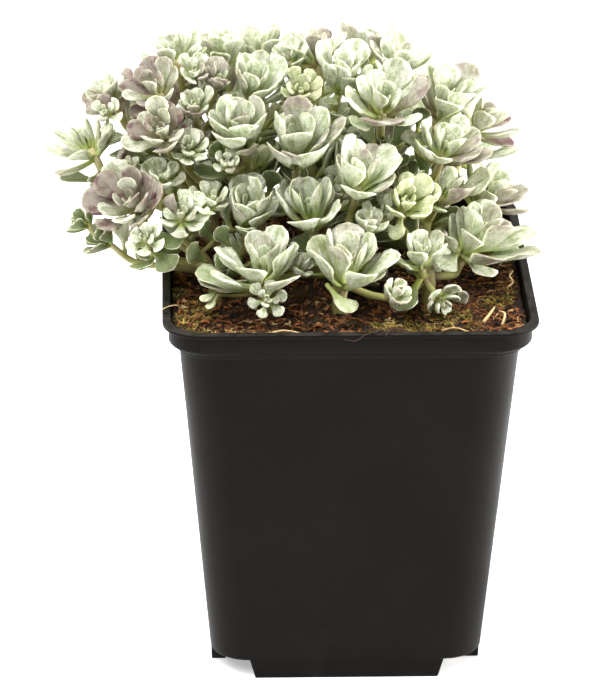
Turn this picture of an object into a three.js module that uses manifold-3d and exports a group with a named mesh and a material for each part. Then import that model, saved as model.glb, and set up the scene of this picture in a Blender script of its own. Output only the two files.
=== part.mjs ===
// A potted cape blanco stonecrop: a mound of silvery spoon-leaved rosettes on branching stems,
// in a square black nursery pot filled with fibrous soil. Millimetres, +Z up.
// The sizes below are measured from the middle of the pot, on the surface that it stands on.
import * as THREE from "three";
import Module from "manifold-3d";
import { mergeVertices } from "three/addons/utils/BufferGeometryUtils.js";

const wasm = await Module();
wasm.setup();

// Pot: a tapered square tub with a rolled band under a thin flat lip.
const POT_HEIGHT = 97.5;
const LIP_WIDTH = 90;
const LIP_THICKNESS = 1.2;
const BAND_WIDTH = 87;
const BAND_HEIGHT = 3.1;
const BAND_ROLL = 1.3;
const LEDGE_WIDTH = 83.2;
const LEDGE_HEIGHT = 1.3;
const BODY_TOP_WIDTH = 80.8;
const BASE_WIDTH = 65.6;
const FOOT_HEIGHT = 5;
const SKIRT_TOP = 48;
const SKIRT_BOTTOM = 42.5;
const WALL = 1.3;
const FLOOR_THICKNESS = 1.5;
const LIP_CORNER = 9.5;
const CORNER_STEPS = 3;
const CORNER_SHRINK = 0.16;
const DRAIN_RADIUS = 4;
const DRAIN_SPREAD = 17;
const DRAIN_SIDES = 8;
const CHAMFER = 0.2;
const JOINT_SINK = 0.2;

// Soil: fills the tub to a little under the band, with an uneven top.
const SOIL_TOP = 90;
const SOIL_BUMP = 1.1;
const SOIL_RINGS = [0.9, 0.6, 0.3];
const BROAD_LUMP = 0.18;
const FINE_LUMP = 0.42;
const GAP = 0.3;

// Stems and leaves.
const TRUNK_RADIUS = 1.7;
const TRUNK_SIDES = 6;
const TRUNK_TOP = 100;
const TRUNK_DEPTH = 12;
const BRANCH_RADIUS = 1.15;
const BRANCH_SIDES = 3;
const BRANCH_STEP = 17;
const BRANCH_ROOT = 2;
const KNEE_ACROSS = 0.42;
const KNEE_UP = 0.55;
const NECK = 7;
const NECK_SHARE = 0.35;
const STALK_RADIUS = 1;
const STALK_SAG = new THREE.Vector3(0, 0, -0.8);
const OUTER_LIFT_CLOSED = 52;
const OUTER_LIFT_OPEN = 4;
const INNER_LIFT = 65;
const STEEPEST = 86;
const LIFT_SWING = 5;
const INNER_REACH = 0.66;
const OUTER_SHARE = 0.6;
const LEAST_LENGTH = 0.92;
const MOST_LENGTH = 1.08;
const SHRINKS = [1, 0.92, 0.84, 0.76, 0.68, 0.6];
const RAISES = [0, 8, 16];
const LEAF_THICKNESS = 1.5;
const LEAF_WIDTH = 0.7;
const LEAF_CUP = 0.2;
const LEAF_BEND = 0.16;
const ABOVE_SHARE = 0.4;
const CORE_SHARE = 0.17;
const CORE_HALF = 0.6;
const LEAST_CORE_HALF = 0.95;
const INNER_CORE = 0.5;
const INNER_RISE = 1.6;
const INNER_HALF = 0.8;
const CORE_TAPER = 0.9;
const ROOT_SHARE = 0.6;
const BUD_SHARE = 0.22;
const SMALL_REACH = 8;
const CELL_MARGIN = 0.25;
const CELL_REACH = 1.25;
const MIDDLE_SHARE = 0.4;
const RIM_CLEARANCE = 0.8;
const STEM_MARGIN = 1.9;

// The stations of a leaf blade: how far along, the half width and the thickness, as shares.
const OUTER_LEAF = [
  { along: 0.32, halfWidth: 0.2, thickness: 0.9 },
  { along: 0.66, halfWidth: 0.46, thickness: 1 },
  { along: 0.9, halfWidth: 0.4, thickness: 0.75 },
];
const INNER_LEAF = [
  { along: 0.5, halfWidth: 0.38, thickness: 1 },
  { along: 0.86, halfWidth: 0.44, thickness: 0.8 },
];
const WEDGE_FILL = 0.93;
const WIDEST_WEDGE = 60;
const SWING = 3;

const TONES = {
  silver: { color: 0xb9c4a8, roughness: 0.75 },
  fresh: { color: 0xb4c47c, roughness: 0.7 },
  mauve: { color: 0xa2878a, roughness: 0.75 },
  shade: { color: 0x6c7f56, roughness: 0.7 },
};

// The shoots, placed by eye. Each has a foot in the soil (x, y) and the rosettes that its stems carry.
// A rosette: hub x, y, z, then the way it leans (degrees round from +X) and how far (degrees),
// the reach of its outer leaves, how many leaves it has, how open it is (0 bud, 1 flat) and its tone.
// Its offsets are small rosettes that grow from its side.
const SHOOTS = [
  {
    foot: [-18, -14],
    rosettes: [
      {
        rosette: [-21, -22, 101, -90, 10, 15.5, 8, 0.5, "silver"],
        offsets: [
          [-20, -30, 100, -90, 55, 4.8, 6, 0.7, "silver"],
          [-12.5, -19, 103, -30, 34, 5.5, 5, 0.4, "silver"],
        ],
      },
      { rosette: [-24, -5, 110, -80, 26, 14, 8, 0.3, "silver"], offsets: [] },
    ],
  },
  {
    foot: [-2, -15],
    rosettes: [
      {
        rosette: [-1, -22, 101, -40, 10, 15.5, 8, 0.4, "silver"],
        offsets: [[10, -29, 100, -50, 40, 5.5, 6, 0.1, "silver"]],
      },
      {
        rosette: [-8.5, -9, 111, -110, 20, 16, 8, 0.4, "silver"],
        offsets: [[-2, 0, 115, -80, 25, 7.5, 5, 0.6, "silver"]],
      },
      {
        rosette: [5, -12, 111, -80, 24, 6.5, 7, 0.3, "silver"],
        offsets: [[9, -4, 110, -60, 30, 7.5, 5, 0.7, "silver"]],
      },
      { rosette: [2.5, -7, 119, -60, 22, 14, 8, 0.5, "silver"], offsets: [] },
    ],
  },
  {
    foot: [20, -10],
    rosettes: [
      { rosette: [18, -15, 103, -90, 16, 9.5, 7, 0.1, "silver"], offsets: [] },
      { rosette: [29, -4, 101, -10, 24, 17, 10, 0.6, "silver"], offsets: [] },
      {
        rosette: [14, -7, 114, -80, 39, 10.5, 7, 0.5, "fresh"],
        offsets: [],
      },
      { rosette: [23, 2, 113, -40, 26, 12.5, 8, 0.4, "silver"], offsets: [] },
    ],
  },
  {
    foot: [-32, -8],
    rosettes: [
      {
        rosette: [-40, -13, 114, -95, 32, 7.5, 8, 0.6, "silver"],
        offsets: [[-33, -9, 116, -60, 25, 7, 5, 0.6, "silver"]],
      },
      { rosette: [-51, -9, 115, -120, 42, 12.5, 9, 0.6, "mauve"], offsets: [] },
      {
        rosette: [-58, -5, 105, -170, 50, 6, 6, 0.5, "shade"],
        offsets: [[-63, 0, 108, 170, 50, 5, 5, 0.5, "shade"]],
      },
      { rosette: [-39, -2, 104, -125, 40, 15, 5, 1, "shade"], offsets: [] },
      { rosette: [-48.5, -19, 111, -110, 45, 5.5, 6, 0.6, "silver"], offsets: [] },
    ],
  },
  {
    foot: [-30, 6],
    rosettes: [
      { rosette: [-61.5, 6, 124, 170, 28, 11, 7, 0.6, "silver"], offsets: [] },
      {
        rosette: [-57, 13, 136, 180, 25, 6, 6, 0.6, "silver"],
        offsets: [[-58, 6, 134, -110, 50, 5.5, 6, 0.6, "silver"]],
      },
      { rosette: [-45, 8, 138, -130, 34, 10.5, 8, 0.7, "mauve"], offsets: [] },
      { rosette: [-44, -2, 131, -110, 38, 11, 8, 0.6, "mauve"], offsets: [] },
      {
        rosette: [-45, -4, 120, -100, 24, 7, 6, 0.5, "silver"],
        offsets: [[-53, 2, 120, 180, 20, 5, 5, 0.4, "silver"]],
      },
    ],
  },
  {
    foot: [-20, 6],
    rosettes: [
      { rosette: [-38.5, -3, 128, -90, 38, 7, 8, 0.5, "silver"], offsets: [] },
      { rosette: [-36.5, 6, 135, -100, 34, 7, 7, 0.5, "silver"], offsets: [] },
      {
        rosette: [-25, 2, 128, -110, 22, 14.5, 8, 0.3, "silver"],
        offsets: [[-29, -5, 125, -90, 40, 4.2, 5, 0.5, "fresh"]],
      },
      { rosette: [-22.5, 14, 135, -75, 22, 13.5, 8, 0.5, "silver"], offsets: [] },
      { rosette: [-31.5, 13, 139, -60, 24, 7.5, 7, 0.5, "silver"], offsets: [] },
    ],
  },
  {
    foot: [-6, 8],
    rosettes: [
      { rosette: [-12, 0, 124, -90, 24, 17.5, 9, 0.5, "silver"], offsets: [] },
      { rosette: [-11, 9, 138, -90, 45, 7, 8, 0.6, "fresh"], offsets: [] },
      { rosette: [-1, 16, 137, -60, 22, 12, 8, 0.4, "silver"], offsets: [] },
      { rosette: [9, 7, 133, -80, 28, 13.5, 9, 0.6, "silver"], offsets: [] },
      {
        rosette: [-6, 27, 140, 120, 6, 10, 7, 0.5, "silver"],
        offsets: [[-13, 23, 141, -130, 25, 6, 6, 0.5, "silver"]],
      },
    ],
  },
  {
    foot: [18, 10],
    rosettes: [
      { rosette: [23.5, 4, 123, -60, 28, 13, 9, 0.6, "silver"], offsets: [] },
      { rosette: [23.5, 16, 130, -40, 18, 13.5, 8, 0.4, "silver"], offsets: [] },
      { rosette: [32, 18, 125, 0, 30, 11, 8, 0.6, "mauve"], offsets: [] },
      { rosette: [13, 24, 138, -40, 14, 10.5, 8, 0.5, "silver"], offsets: [] },
      { rosette: [9.5, 12, 121, -90, 24, 10.5, 6, 0.7, "shade"], offsets: [] },
    ],
  },
  {
    foot: [-24, 26],
    rosettes: [
      { rosette: [-29, 27, 140, 110, 8, 9.5, 7, 0.4, "silver"], offsets: [] },
      { rosette: [-20, 33, 138, 90, 12, 10, 7, 0.5, "silver"], offsets: [] },
      {
        rosette: [-41, 20, 142, 170, 12, 9.5, 8, 0.5, "silver"],
        offsets: [[-37, 12, 142, -80, 39, 5.5, 6, 0.5, "silver"]],
      },
      { rosette: [-46, 30, 126, 150, 35, 13, 7, 0.6, "silver"], offsets: [] },
      { rosette: [-30, 41, 124, 110, 35, 14.5, 7, 0.6, "silver"], offsets: [] },
      { rosette: [-42, 38, 108, 140, 45, 14.5, 7, 0.6, "shade"], offsets: [] },
      { rosette: [-20, 46, 108, 90, 45, 14.5, 7, 0.6, "silver"], offsets: [] },
    ],
  },
  {
    foot: [14, 28],
    rosettes: [
      { rosette: [6, 32, 138, 70, 12, 11, 7, 0.4, "silver"], offsets: [] },
      { rosette: [-8, 42, 124, 100, 35, 14.5, 7, 0.6, "silver"], offsets: [] },
      { rosette: [14, 40, 122, 80, 35, 14.5, 7, 0.6, "silver"], offsets: [] },
      { rosette: [30, 33, 112, 60, 35, 14.5, 7, 0.6, "silver"], offsets: [] },
      { rosette: [6, 46, 107, 90, 45, 14.5, 7, 0.6, "shade"], offsets: [] },
      { rosette: [34, 13, 107, 0, 32, 12, 8, 0.6, "silver"], offsets: [] },
    ],
  },
];

const radians = (degrees) => (degrees * Math.PI) / 180;

const mix = (from, to, share) => from + (to - from) * share;

function seededRandom(seed) {
  let state = seed * 7919 + 17;
  return () => {
    state = (state * 16807) % 2147483647;
    return state / 2147483647;
  };
}

function toSolid(geometry) {
  const plain = geometry.clone();
  plain.deleteAttribute("normal");
  plain.deleteAttribute("uv");
  const merged = mergeVertices(plain, 1e-4);
  return new wasm.Manifold(
    new wasm.Mesh({
      numProp: 3,
      vertProperties: Float32Array.from(merged.attributes.position.array),
      triVerts: Uint32Array.from(merged.index.array),
    }),
  );
}

function toGeometry(solid) {
  const mesh = solid.getMesh();
  const geometry = new THREE.BufferGeometry();
  geometry.setAttribute("position", new THREE.BufferAttribute(Float32Array.from(mesh.vertProperties), 3));
  geometry.setIndex(new THREE.BufferAttribute(Uint32Array.from(mesh.triVerts), 1));
  const split = geometry.toNonIndexed();
  split.computeVertexNormals();
  return split;
}

// Joins solids, and keeps the outer skin of the largest body, so that no sealed hollow is left.
function fuse(solids) {
  const joined = solids.reduce((whole, next) => whole.add(next));
  const bodies = joined.decompose();
  bodies.sort((one, other) => other.volume() - one.volume());
  return bodies[0];
}

// A closed skin over rings of points, from the first ring to the last, with flat fans at both ends.
function loft(rings) {
  const count = rings[0].length;
  const points = rings.flat();
  const faces = [];
  for (let level = 0; level + 1 < rings.length; level += 1) {
    for (let i = 0; i < count; i += 1) {
      const next = (i + 1) % count;
      const low = level * count;
      const high = low + count;
      faces.push(low + i, low + next, high + next, low + i, high + next, high + i);
    }
  }
  const cap = (ring, start, flip) => {
    const middle = ring.reduce((sum, point) => sum.add(point), new THREE.Vector3());
    points.push(middle.divideScalar(count));
    for (let i = 0; i < count; i += 1) {
      const next = (i + 1) % count;
      const pair = flip ? [start + next, start + i] : [start + i, start + next];
      faces.push(...pair, points.length - 1);
    }
  };
  cap(rings[0], 0, true);
  cap(rings[rings.length - 1], (rings.length - 1) * count, false);
  const geometry = new THREE.BufferGeometry();
  geometry.setFromPoints(points);
  geometry.setIndex(faces);
  return geometry;
}

// A square with round corners, seen from above, as points that run anticlockwise.
function squareRing(width, corner, height) {
  const inset = width / 2 - corner;
  const points = [];
  for (let quarter = 0; quarter < 4; quarter += 1) {
    const start = quarter * 90;
    const centreX = inset * (quarter === 0 || quarter === 3 ? 1 : -1);
    const centreY = inset * (quarter < 2 ? 1 : -1);
    for (let step = 0; step <= CORNER_STEPS; step += 1) {
      const angle = radians(start + (90 * step) / CORNER_STEPS);
      points.push(
        new THREE.Vector3(centreX + corner * Math.cos(angle), centreY + corner * Math.sin(angle), height),
      );
    }
  }
  return points;
}

// The height of each change in the pot's outline.
const LIP_BOTTOM = POT_HEIGHT - LIP_THICKNESS;
const BAND_BOTTOM = LIP_BOTTOM - BAND_HEIGHT;
const LEDGE_TOP = BAND_BOTTOM - BAND_ROLL;
const BODY_TOP = LEDGE_TOP - LEDGE_HEIGHT;
const FLOOR_TOP = FOOT_HEIGHT + FLOOR_THICKNESS;

// The body's outer width at a height, along its straight taper.
function bodyWidth(height) {
  return mix(BASE_WIDTH, BODY_TOP_WIDTH, (height - FOOT_HEIGHT) / (BODY_TOP - FOOT_HEIGHT));
}

// A corner turns about one centre, so its radius shrinks with the width.
function cornerFor(width) {
  return LIP_CORNER - (LIP_WIDTH - width) * CORNER_SHRINK;
}

function potRing(width, height) {
  return squareRing(width, cornerFor(width), height);
}

function skirt() {
  const outline = new THREE.Shape([
    new THREE.Vector2(-SKIRT_BOTTOM / 2, 0),
    new THREE.Vector2(SKIRT_BOTTOM / 2, 0),
    new THREE.Vector2(SKIRT_TOP / 2, FOOT_HEIGHT),
    new THREE.Vector2(SKIRT_TOP / 2, FLOOR_TOP - JOINT_SINK),
    new THREE.Vector2(-SKIRT_TOP / 2, FLOOR_TOP - JOINT_SINK),
    new THREE.Vector2(-SKIRT_TOP / 2, FOOT_HEIGHT),
  ]);
  const plate = new THREE.ExtrudeGeometry(outline, { depth: WALL + JOINT_SINK, bevelEnabled: false });
  plate.rotateX(Math.PI / 2);
  plate.translate(0, -BASE_WIDTH / 2 + WALL + 2 * JOINT_SINK, 0);
  return plate;
}

function makePot() {
  const outer = loft([
    potRing(BASE_WIDTH, FOOT_HEIGHT),
    potRing(BODY_TOP_WIDTH, BODY_TOP),
    potRing(LEDGE_WIDTH, BODY_TOP + CHAMFER),
    potRing(LEDGE_WIDTH, LEDGE_TOP),
    potRing(BAND_WIDTH - BAND_ROLL, LEDGE_TOP + 2 * CHAMFER),
    potRing(BAND_WIDTH, BAND_BOTTOM),
    potRing(BAND_WIDTH, LIP_BOTTOM),
    potRing(LIP_WIDTH, LIP_BOTTOM + CHAMFER),
    potRing(LIP_WIDTH, POT_HEIGHT),
  ]);
  const bandInside = BAND_WIDTH - 2 * WALL;
  const inside = loft([
    potRing(bodyWidth(FLOOR_TOP) - 2 * WALL, FLOOR_TOP),
    potRing(BODY_TOP_WIDTH - 2 * WALL, BODY_TOP - 2 * CHAMFER),
    potRing(LEDGE_WIDTH - 2 * WALL, LEDGE_TOP - 2 * CHAMFER),
    potRing(bandInside, BAND_BOTTOM),
    potRing(bandInside, POT_HEIGHT + 1),
  ]);
  let pot = toSolid(outer).subtract(toSolid(inside));
  for (let side = 0; side < 4; side += 1) {
    pot = pot.add(toSolid(skirt().rotateZ((side * Math.PI) / 2)));
  }
  for (const [x, y] of [[0, 0], [1, 1], [-1, 1], [-1, -1], [1, -1]]) {
    const drain = new THREE.CylinderGeometry(DRAIN_RADIUS, DRAIN_RADIUS, 3 * FLOOR_THICKNESS, DRAIN_SIDES);
    drain.rotateX(Math.PI / 2);
    drain.translate(x * DRAIN_SPREAD, y * DRAIN_SPREAD, FOOT_HEIGHT + FLOOR_THICKNESS / 2);
    pot = pot.subtract(toSolid(drain));
  }
  return pot;
}

// The soil's surface: broad lumps and hollows.
function soilHeight(x, y) {
  const broad = Math.sin(x * BROAD_LUMP) * Math.cos(y * BROAD_LUMP);
  const fine = Math.sin((x - y) * FINE_LUMP);
  return SOIL_TOP + SOIL_BUMP * mix(broad, fine, 0.35);
}

function makeSoil() {
  const bottomWidth = bodyWidth(FLOOR_TOP) - 2 * WALL - 2 * GAP;
  const topWidth = bodyWidth(SOIL_TOP) - 2 * WALL - 2 * GAP;
  const edge = SOIL_TOP - 2 * SOIL_BUMP;
  const rings = [potRing(bottomWidth, FLOOR_TOP + GAP), potRing(topWidth - GAP, edge)];
  for (const share of SOIL_RINGS) {
    const ring = potRing(topWidth, 0);
    for (const point of ring) {
      point.multiplyScalar(share);
      point.z = soilHeight(point.x, point.y);
    }
    rings.push(ring);
  }
  let soil = toSolid(loft(rings));
  for (const shoot of SHOOTS) {
    const radius = TRUNK_RADIUS + GAP;
    const hole = new THREE.CylinderGeometry(radius, radius, 2 * TRUNK_DEPTH, TRUNK_SIDES);
    hole.rotateX(Math.PI / 2);
    hole.translate(shoot.foot[0], shoot.foot[1], SOIL_TOP);
    soil = soil.subtract(toSolid(hole));
  }
  return soil;
}

// A rosette's own directions: its axis, and two directions across it.
function rosetteFrame(towards, lean) {
  const turn = radians(towards);
  const tilt = radians(lean);
  const level = new THREE.Vector3(Math.cos(turn), Math.sin(turn), 0);
  const up = new THREE.Vector3(0, 0, 1);
  return {
    axis: up.clone().multiplyScalar(Math.cos(tilt)).addScaledVector(level, Math.sin(tilt)),
    across: level.clone().multiplyScalar(Math.cos(tilt)).addScaledVector(up, -Math.sin(tilt)),
    along: up.clone().cross(level),
  };
}

function readRosette(row, seed, family) {
  const [x, y, z, towards, lean, reach, leaves, opening, tone] = row;
  const frame = rosetteFrame(towards, lean);
  const hub = new THREE.Vector3(x, y, z);
  const middle = hub.clone().addScaledVector(frame.axis, MIDDLE_SHARE * reach);
  const random = seededRandom(seed);
  const spin = random() * 2 * Math.PI;
  return { hub, middle, reach, leaves, opening, tone, random, spin, family, ...frame };
}

// How many of a rosette's leaves are in its outer whorl. A small rosette has no other.
function outerCount(rosette) {
  return rosette.reach < SMALL_REACH ? rosette.leaves : Math.ceil(OUTER_SHARE * rosette.leaves);
}

// A whorl's place on its rosette: radius and middle height of its core, and its leaves' first angle.
function readWhorl(rosette, inner) {
  const half = coreHalf(rosette);
  const outer = outerCount(rosette);
  return {
    inner,
    count: inner ? rosette.leaves - outer : outer,
    radius: rosette.reach * CORE_SHARE * (inner ? INNER_CORE : 1),
    level: inner ? INNER_RISE * half : 0,
    half: inner ? INNER_HALF * half : half,
    start: rosette.spin + (inner ? Math.PI / outer : 0),
    stations: inner || rosette.reach < SMALL_REACH ? INNER_LEAF : OUTER_LEAF,
    bud: (inner || rosette.reach < SMALL_REACH ? BUD_SHARE : 0) * rosette.reach,
  };
}

// Half the height of a rosette's core.
function coreHalf(rosette) {
  return Math.max(CORE_HALF * CORE_SHARE * rosette.reach, LEAST_CORE_HALF);
}

// Reads the shoots into rosettes, each family being one rosette with its offsets.
function readPlant() {
  const families = [];
  let seed = 0;
  SHOOTS.forEach((shoot, shootIndex) => {
    for (const { rosette, offsets } of shoot.rosettes) {
      const family = families.length;
      const members = [rosette, ...offsets].map((row) => {
        seed += 1;
        return readRosette(row, seed, family);
      });
      families.push({ shoot: shootIndex, members });
    }
  });
  return families;
}

// A point on a leaf's blade. Along and side are shares, and level is a height in millimetres.
function leafPoint(leaf, along, side, level) {
  const halfWidth = side * leaf.width;
  const bend = along > 0 ? LEAF_BEND * along * along * leaf.length : 0;
  const rise = bend + LEAF_CUP * Math.abs(halfWidth) * 2 + level;
  return leaf.root
    .clone()
    .addScaledVector(leaf.forward, along * leaf.length)
    .addScaledVector(leaf.side, halfWidth)
    .addScaledVector(leaf.upward, rise);
}

// The four corners of a leaf's blade at each station. A blade stays in its own wedge of the whorl.
function leafRings(leaf) {
  return leaf.stations.map(({ along, halfWidth, thickness }) => {
    const room = (leaf.radius + along * leaf.length * leaf.spread) * leaf.wedge;
    const side = Math.min(halfWidth, room / leaf.width);
    return [
      leafPoint(leaf, along, side, 0),
      leafPoint(leaf, along, 0, ABOVE_SHARE * thickness * LEAF_THICKNESS),
      leafPoint(leaf, along, -side, 0),
      leafPoint(leaf, along, 0, (ABOVE_SHARE - 1) * thickness * LEAF_THICKNESS),
    ];
  });
}

// A leaf as it grows: its way round the axis, its lift from flat and its length.
function growLeaf(rosette, whorl, turn, degrees, length) {
  const lift = radians(Math.min(degrees, STEEPEST));
  const outward = rosette.across
    .clone()
    .multiplyScalar(Math.cos(turn))
    .addScaledVector(rosette.along, Math.sin(turn));
  const halfWedge = Math.min(Math.PI / whorl.count - radians(SWING), radians(WIDEST_WEDGE));
  return {
    length,
    width: length * LEAF_WIDTH,
    stations: whorl.stations,
    radius: ROOT_SHARE * whorl.radius,
    spread: Math.cos(lift),
    wedge: WEDGE_FILL * Math.tan(halfWedge),
    root: rosette.hub
      .clone()
      .addScaledVector(outward, ROOT_SHARE * whorl.radius)
      .addScaledVector(rosette.axis, whorl.level),
    forward: outward.clone().multiplyScalar(Math.cos(lift)).addScaledVector(rosette.axis, Math.sin(lift)),
    upward: rosette.axis.clone().multiplyScalar(Math.cos(lift)).addScaledVector(outward, -Math.sin(lift)),
    side: rosette.along
      .clone()
      .multiplyScalar(Math.cos(turn))
      .addScaledVector(rosette.across, -Math.sin(turn)),
  };
}

// The lowest height that a leaf may reach over a point: the soil inside the pot, its rim, or the air.
function groundAt(x, y) {
  const far = Math.max(Math.abs(x), Math.abs(y));
  if (far > LIP_WIDTH / 2 + 2 * RIM_CLEARANCE) {
    return 0;
  }
  const overRim = far > BODY_TOP_WIDTH / 2 - 2 * RIM_CLEARANCE;
  return overRim ? POT_HEIGHT + RIM_CLEARANCE : SOIL_TOP + 2 * SOIL_BUMP;
}

function distanceToPath(point, path) {
  const line = new THREE.Line3();
  const nearest = new THREE.Vector3();
  let least = Infinity;
  for (let i = 0; i + 1 < path.length; i += 1) {
    line.set(path[i], path[i + 1]);
    line.closestPointToPoint(point, true, nearest);
    least = Math.min(least, nearest.distanceTo(point));
  }
  return least;
}

// The flat walls between a rosette and its neighbours, each nearer to the smaller of the two.
function cellWalls(rosette, others) {
  const walls = [];
  for (const other of others) {
    const apart = rosette.middle.distanceTo(other.middle);
    if (other.family === rosette.family || apart > CELL_REACH * (rosette.reach + other.reach)) {
      continue;
    }
    const normal = other.middle.clone().sub(rosette.middle).normalize();
    const share = rosette.reach / (rosette.reach + other.reach);
    const point = rosette.middle.clone().addScaledVector(normal, apart * share - CELL_MARGIN);
    walls.push(new THREE.Plane().setFromNormalAndCoplanarPoint(normal, point));
  }
  return walls;
}

function leafIsClear(leaf, walls, paths) {
  const rings = leafRings(leaf);
  const halfway = (ring, other) => ring.map((point, corner) => point.clone().lerp(other[corner], 0.5));
  const between = rings.slice(1).flatMap((ring, i) => halfway(ring, rings[i]));
  const outline = [leafPoint(leaf, 1, 0, 0), ...rings.flat(), ...between];
  if (walls.some((wall) => outline.some((point) => wall.distanceToPoint(point) > 0))) {
    return false;
  }
  if (outline.some((point) => point.z < groundAt(point.x, point.y))) {
    return false;
  }
  return !paths.some((path) => outline.some((point) => distanceToPath(point, path) < STEM_MARGIN));
}

// Grows the leaves of a whorl. A leaf that would cross a wall or a stem is bent up, then shortened.
function growLeaves(rosette, whorl, walls, paths) {
  const { random } = rosette;
  const rise = whorl.inner ? INNER_LIFT : mix(OUTER_LIFT_CLOSED, OUTER_LIFT_OPEN, rosette.opening);
  const leaves = [];
  for (let k = 0; k < whorl.count; k += 1) {
    const turn = whorl.start + (k * 2 * Math.PI) / whorl.count + radians((2 * random() - 1) * SWING);
    const lift = rise + (2 * random() - 1) * LIFT_SWING;
    const length = rosette.reach * (whorl.inner ? INNER_REACH : 1) * mix(LEAST_LENGTH, MOST_LENGTH, random());
    leaves.push(null);
    for (const shrink of SHRINKS) {
      const grow = (raise) => growLeaf(rosette, whorl, turn, lift + raise, length * shrink);
      const raise = RAISES.find((degrees) => leafIsClear(grow(degrees), walls, paths));
      if (raise !== undefined) {
        leaves[k] = grow(raise);
        break;
      }
    }
  }
  return leaves;
}

// A whorl as one closed skin: a core with a four-cornered side for each leaf, which grows out of it.
function whorlGeometry(rosette, whorl, leaves) {
  const { count, radius, level, half, start } = whorl;
  const place = (turn, far, height) =>
    rosette.hub
      .clone()
      .addScaledVector(rosette.across, far * Math.cos(turn))
      .addScaledVector(rosette.along, far * Math.sin(turn))
      .addScaledVector(rosette.axis, level + height);
  const points = [place(0, 0, half + whorl.bud), place(0, 0, -half)];
  for (let k = 0; k < count; k += 1) {
    const turn = start + (k * 2 * Math.PI) / count;
    const taper = CORE_TAPER * radius;
    points.push(place(turn - Math.PI / count, radius, 0));
    points.push(place(turn, taper, half), place(turn, taper, -half));
  }
  const faces = [];
  for (let k = 0; k < count; k += 1) {
    const [before, above, below] = [2 + 3 * k, 3 + 3 * k, 4 + 3 * k];
    const after = 2 + 3 * ((k + 1) % count);
    faces.push(0, before, above, 0, above, after, 1, below, before, 1, after, below);
    let near = [after, above, before, below];
    const leaf = leaves[k];
    if (!leaf) {
      faces.push(after, above, before, after, before, below);
      continue;
    }
    for (const ring of leafRings(leaf)) {
      const far = ring.map((point, corner) => points.length + corner);
      points.push(...ring);
      for (let i = 0; i < 4; i += 1) {
        const next = (i + 1) % 4;
        faces.push(near[i], near[next], far[next], near[i], far[next], far[i]);
      }
      near = far;
    }
    points.push(leafPoint(leaf, 1, 0, 0));
    for (let i = 0; i < 4; i += 1) {
      faces.push(near[i], near[(i + 1) % 4], points.length - 1);
    }
  }
  return new THREE.BufferGeometry().setFromPoints(points).setIndex(faces);
}

// A tube along a curve, closed at both ends.
function tube(curve, radius, sides, steps) {
  const section = new THREE.Shape();
  for (let i = 0; i < sides; i += 1) {
    const angle = (2 * Math.PI * i) / sides;
    const point = [radius * Math.cos(angle), radius * Math.sin(angle)];
    if (i === 0) {
      section.moveTo(...point);
    } else {
      section.lineTo(...point);
    }
  }
  section.closePath();
  return new THREE.ExtrudeGeometry(section, { steps, extrudePath: curve, bevelEnabled: false });
}

// A branch rises out of its trunk and meets a rosette from below, along the rosette's axis.
function branchCurve(foot, rosette) {
  const end = rosette.hub.clone().addScaledVector(rosette.axis, -coreHalf(rosette) - GAP);
  const start = new THREE.Vector3(foot[0], foot[1], TRUNK_TOP - BRANCH_ROOT);
  const neck = Math.min(NECK, NECK_SHARE * end.distanceTo(start));
  const below = end.clone().addScaledVector(rosette.axis, -neck);
  const knee = start.clone().lerp(below, KNEE_ACROSS);
  knee.z = mix(start.z, below.z, KNEE_UP);
  return new THREE.CatmullRomCurve3([start, knee, below, end]);
}

function makeRosette(family, cells, paths) {
  const [parent] = family.members;
  const solids = [];
  for (const member of family.members) {
    for (const inner of member.reach < SMALL_REACH ? [false] : [false, true]) {
      const whorl = readWhorl(member, inner);
      const leaves = growLeaves(member, whorl, cells(member), paths);
      solids.push(toSolid(whorlGeometry(member, whorl, leaves)));
    }
    if (member !== parent) {
      const sag = parent.hub.clone().lerp(member.hub, 0.5).add(STALK_SAG);
      const curve = new THREE.CatmullRomCurve3([parent.hub.clone(), sag, member.hub.clone()]);
      solids.push(toSolid(tube(curve, STALK_RADIUS, BRANCH_SIDES, 1)));
    }
  }
  return fuse(solids);
}

function material(tone) {
  return new THREE.MeshStandardMaterial({ metalness: 0, ...tone });
}

function named(name, solid, tone) {
  const mesh = new THREE.Mesh(toGeometry(solid), material(tone));
  mesh.name = name;
  return mesh;
}

const plant = new THREE.Group();
plant.add(named("pot", makePot(), { color: 0x2a2725, roughness: 0.5 }));
plant.add(named("soil", makeSoil(), { color: 0x4a3120, roughness: 0.95 }));

const families = readPlant();
const rosettes = families.flatMap((family) => family.members);
const branches = families.map((family) => branchCurve(SHOOTS[family.shoot].foot, family.members[0]));
const branchPaths = branches.map((curve) => curve.getPoints(8));
const trunkPaths = SHOOTS.map(({ foot: [x, y] }) => [
  new THREE.Vector3(x, y, SOIL_TOP),
  new THREE.Vector3(x, y, TRUNK_TOP + 1),
]);

SHOOTS.forEach((shoot, index) => {
  const [x, y] = shoot.foot;
  const trunkBottom = new THREE.Vector3(x, y, SOIL_TOP - TRUNK_DEPTH + GAP);
  const trunk = new THREE.LineCurve3(trunkBottom, new THREE.Vector3(x, y, TRUNK_TOP));
  const solids = [toSolid(tube(trunk, TRUNK_RADIUS, TRUNK_SIDES, 1))];
  families.forEach((family, order) => {
    if (family.shoot === index) {
      const steps = Math.ceil(branches[order].getLength() / BRANCH_STEP);
      solids.push(toSolid(tube(branches[order], BRANCH_RADIUS, BRANCH_SIDES, steps)));
    }
  });
  plant.add(named(`stem_${index + 1}`, fuse(solids), { color: 0xc39a7c, roughness: 0.7 }));
});

families.forEach((family, order) => {
  const others = [...trunkPaths, ...branchPaths.filter((path, index) => index !== order)];
  const solid = makeRosette(family, (member) => cellWalls(member, rosettes), others);
  plant.add(named(`rosette_${String(order + 1).padStart(2, "0")}`, solid, TONES[family.members[0].tone]));
});

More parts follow.
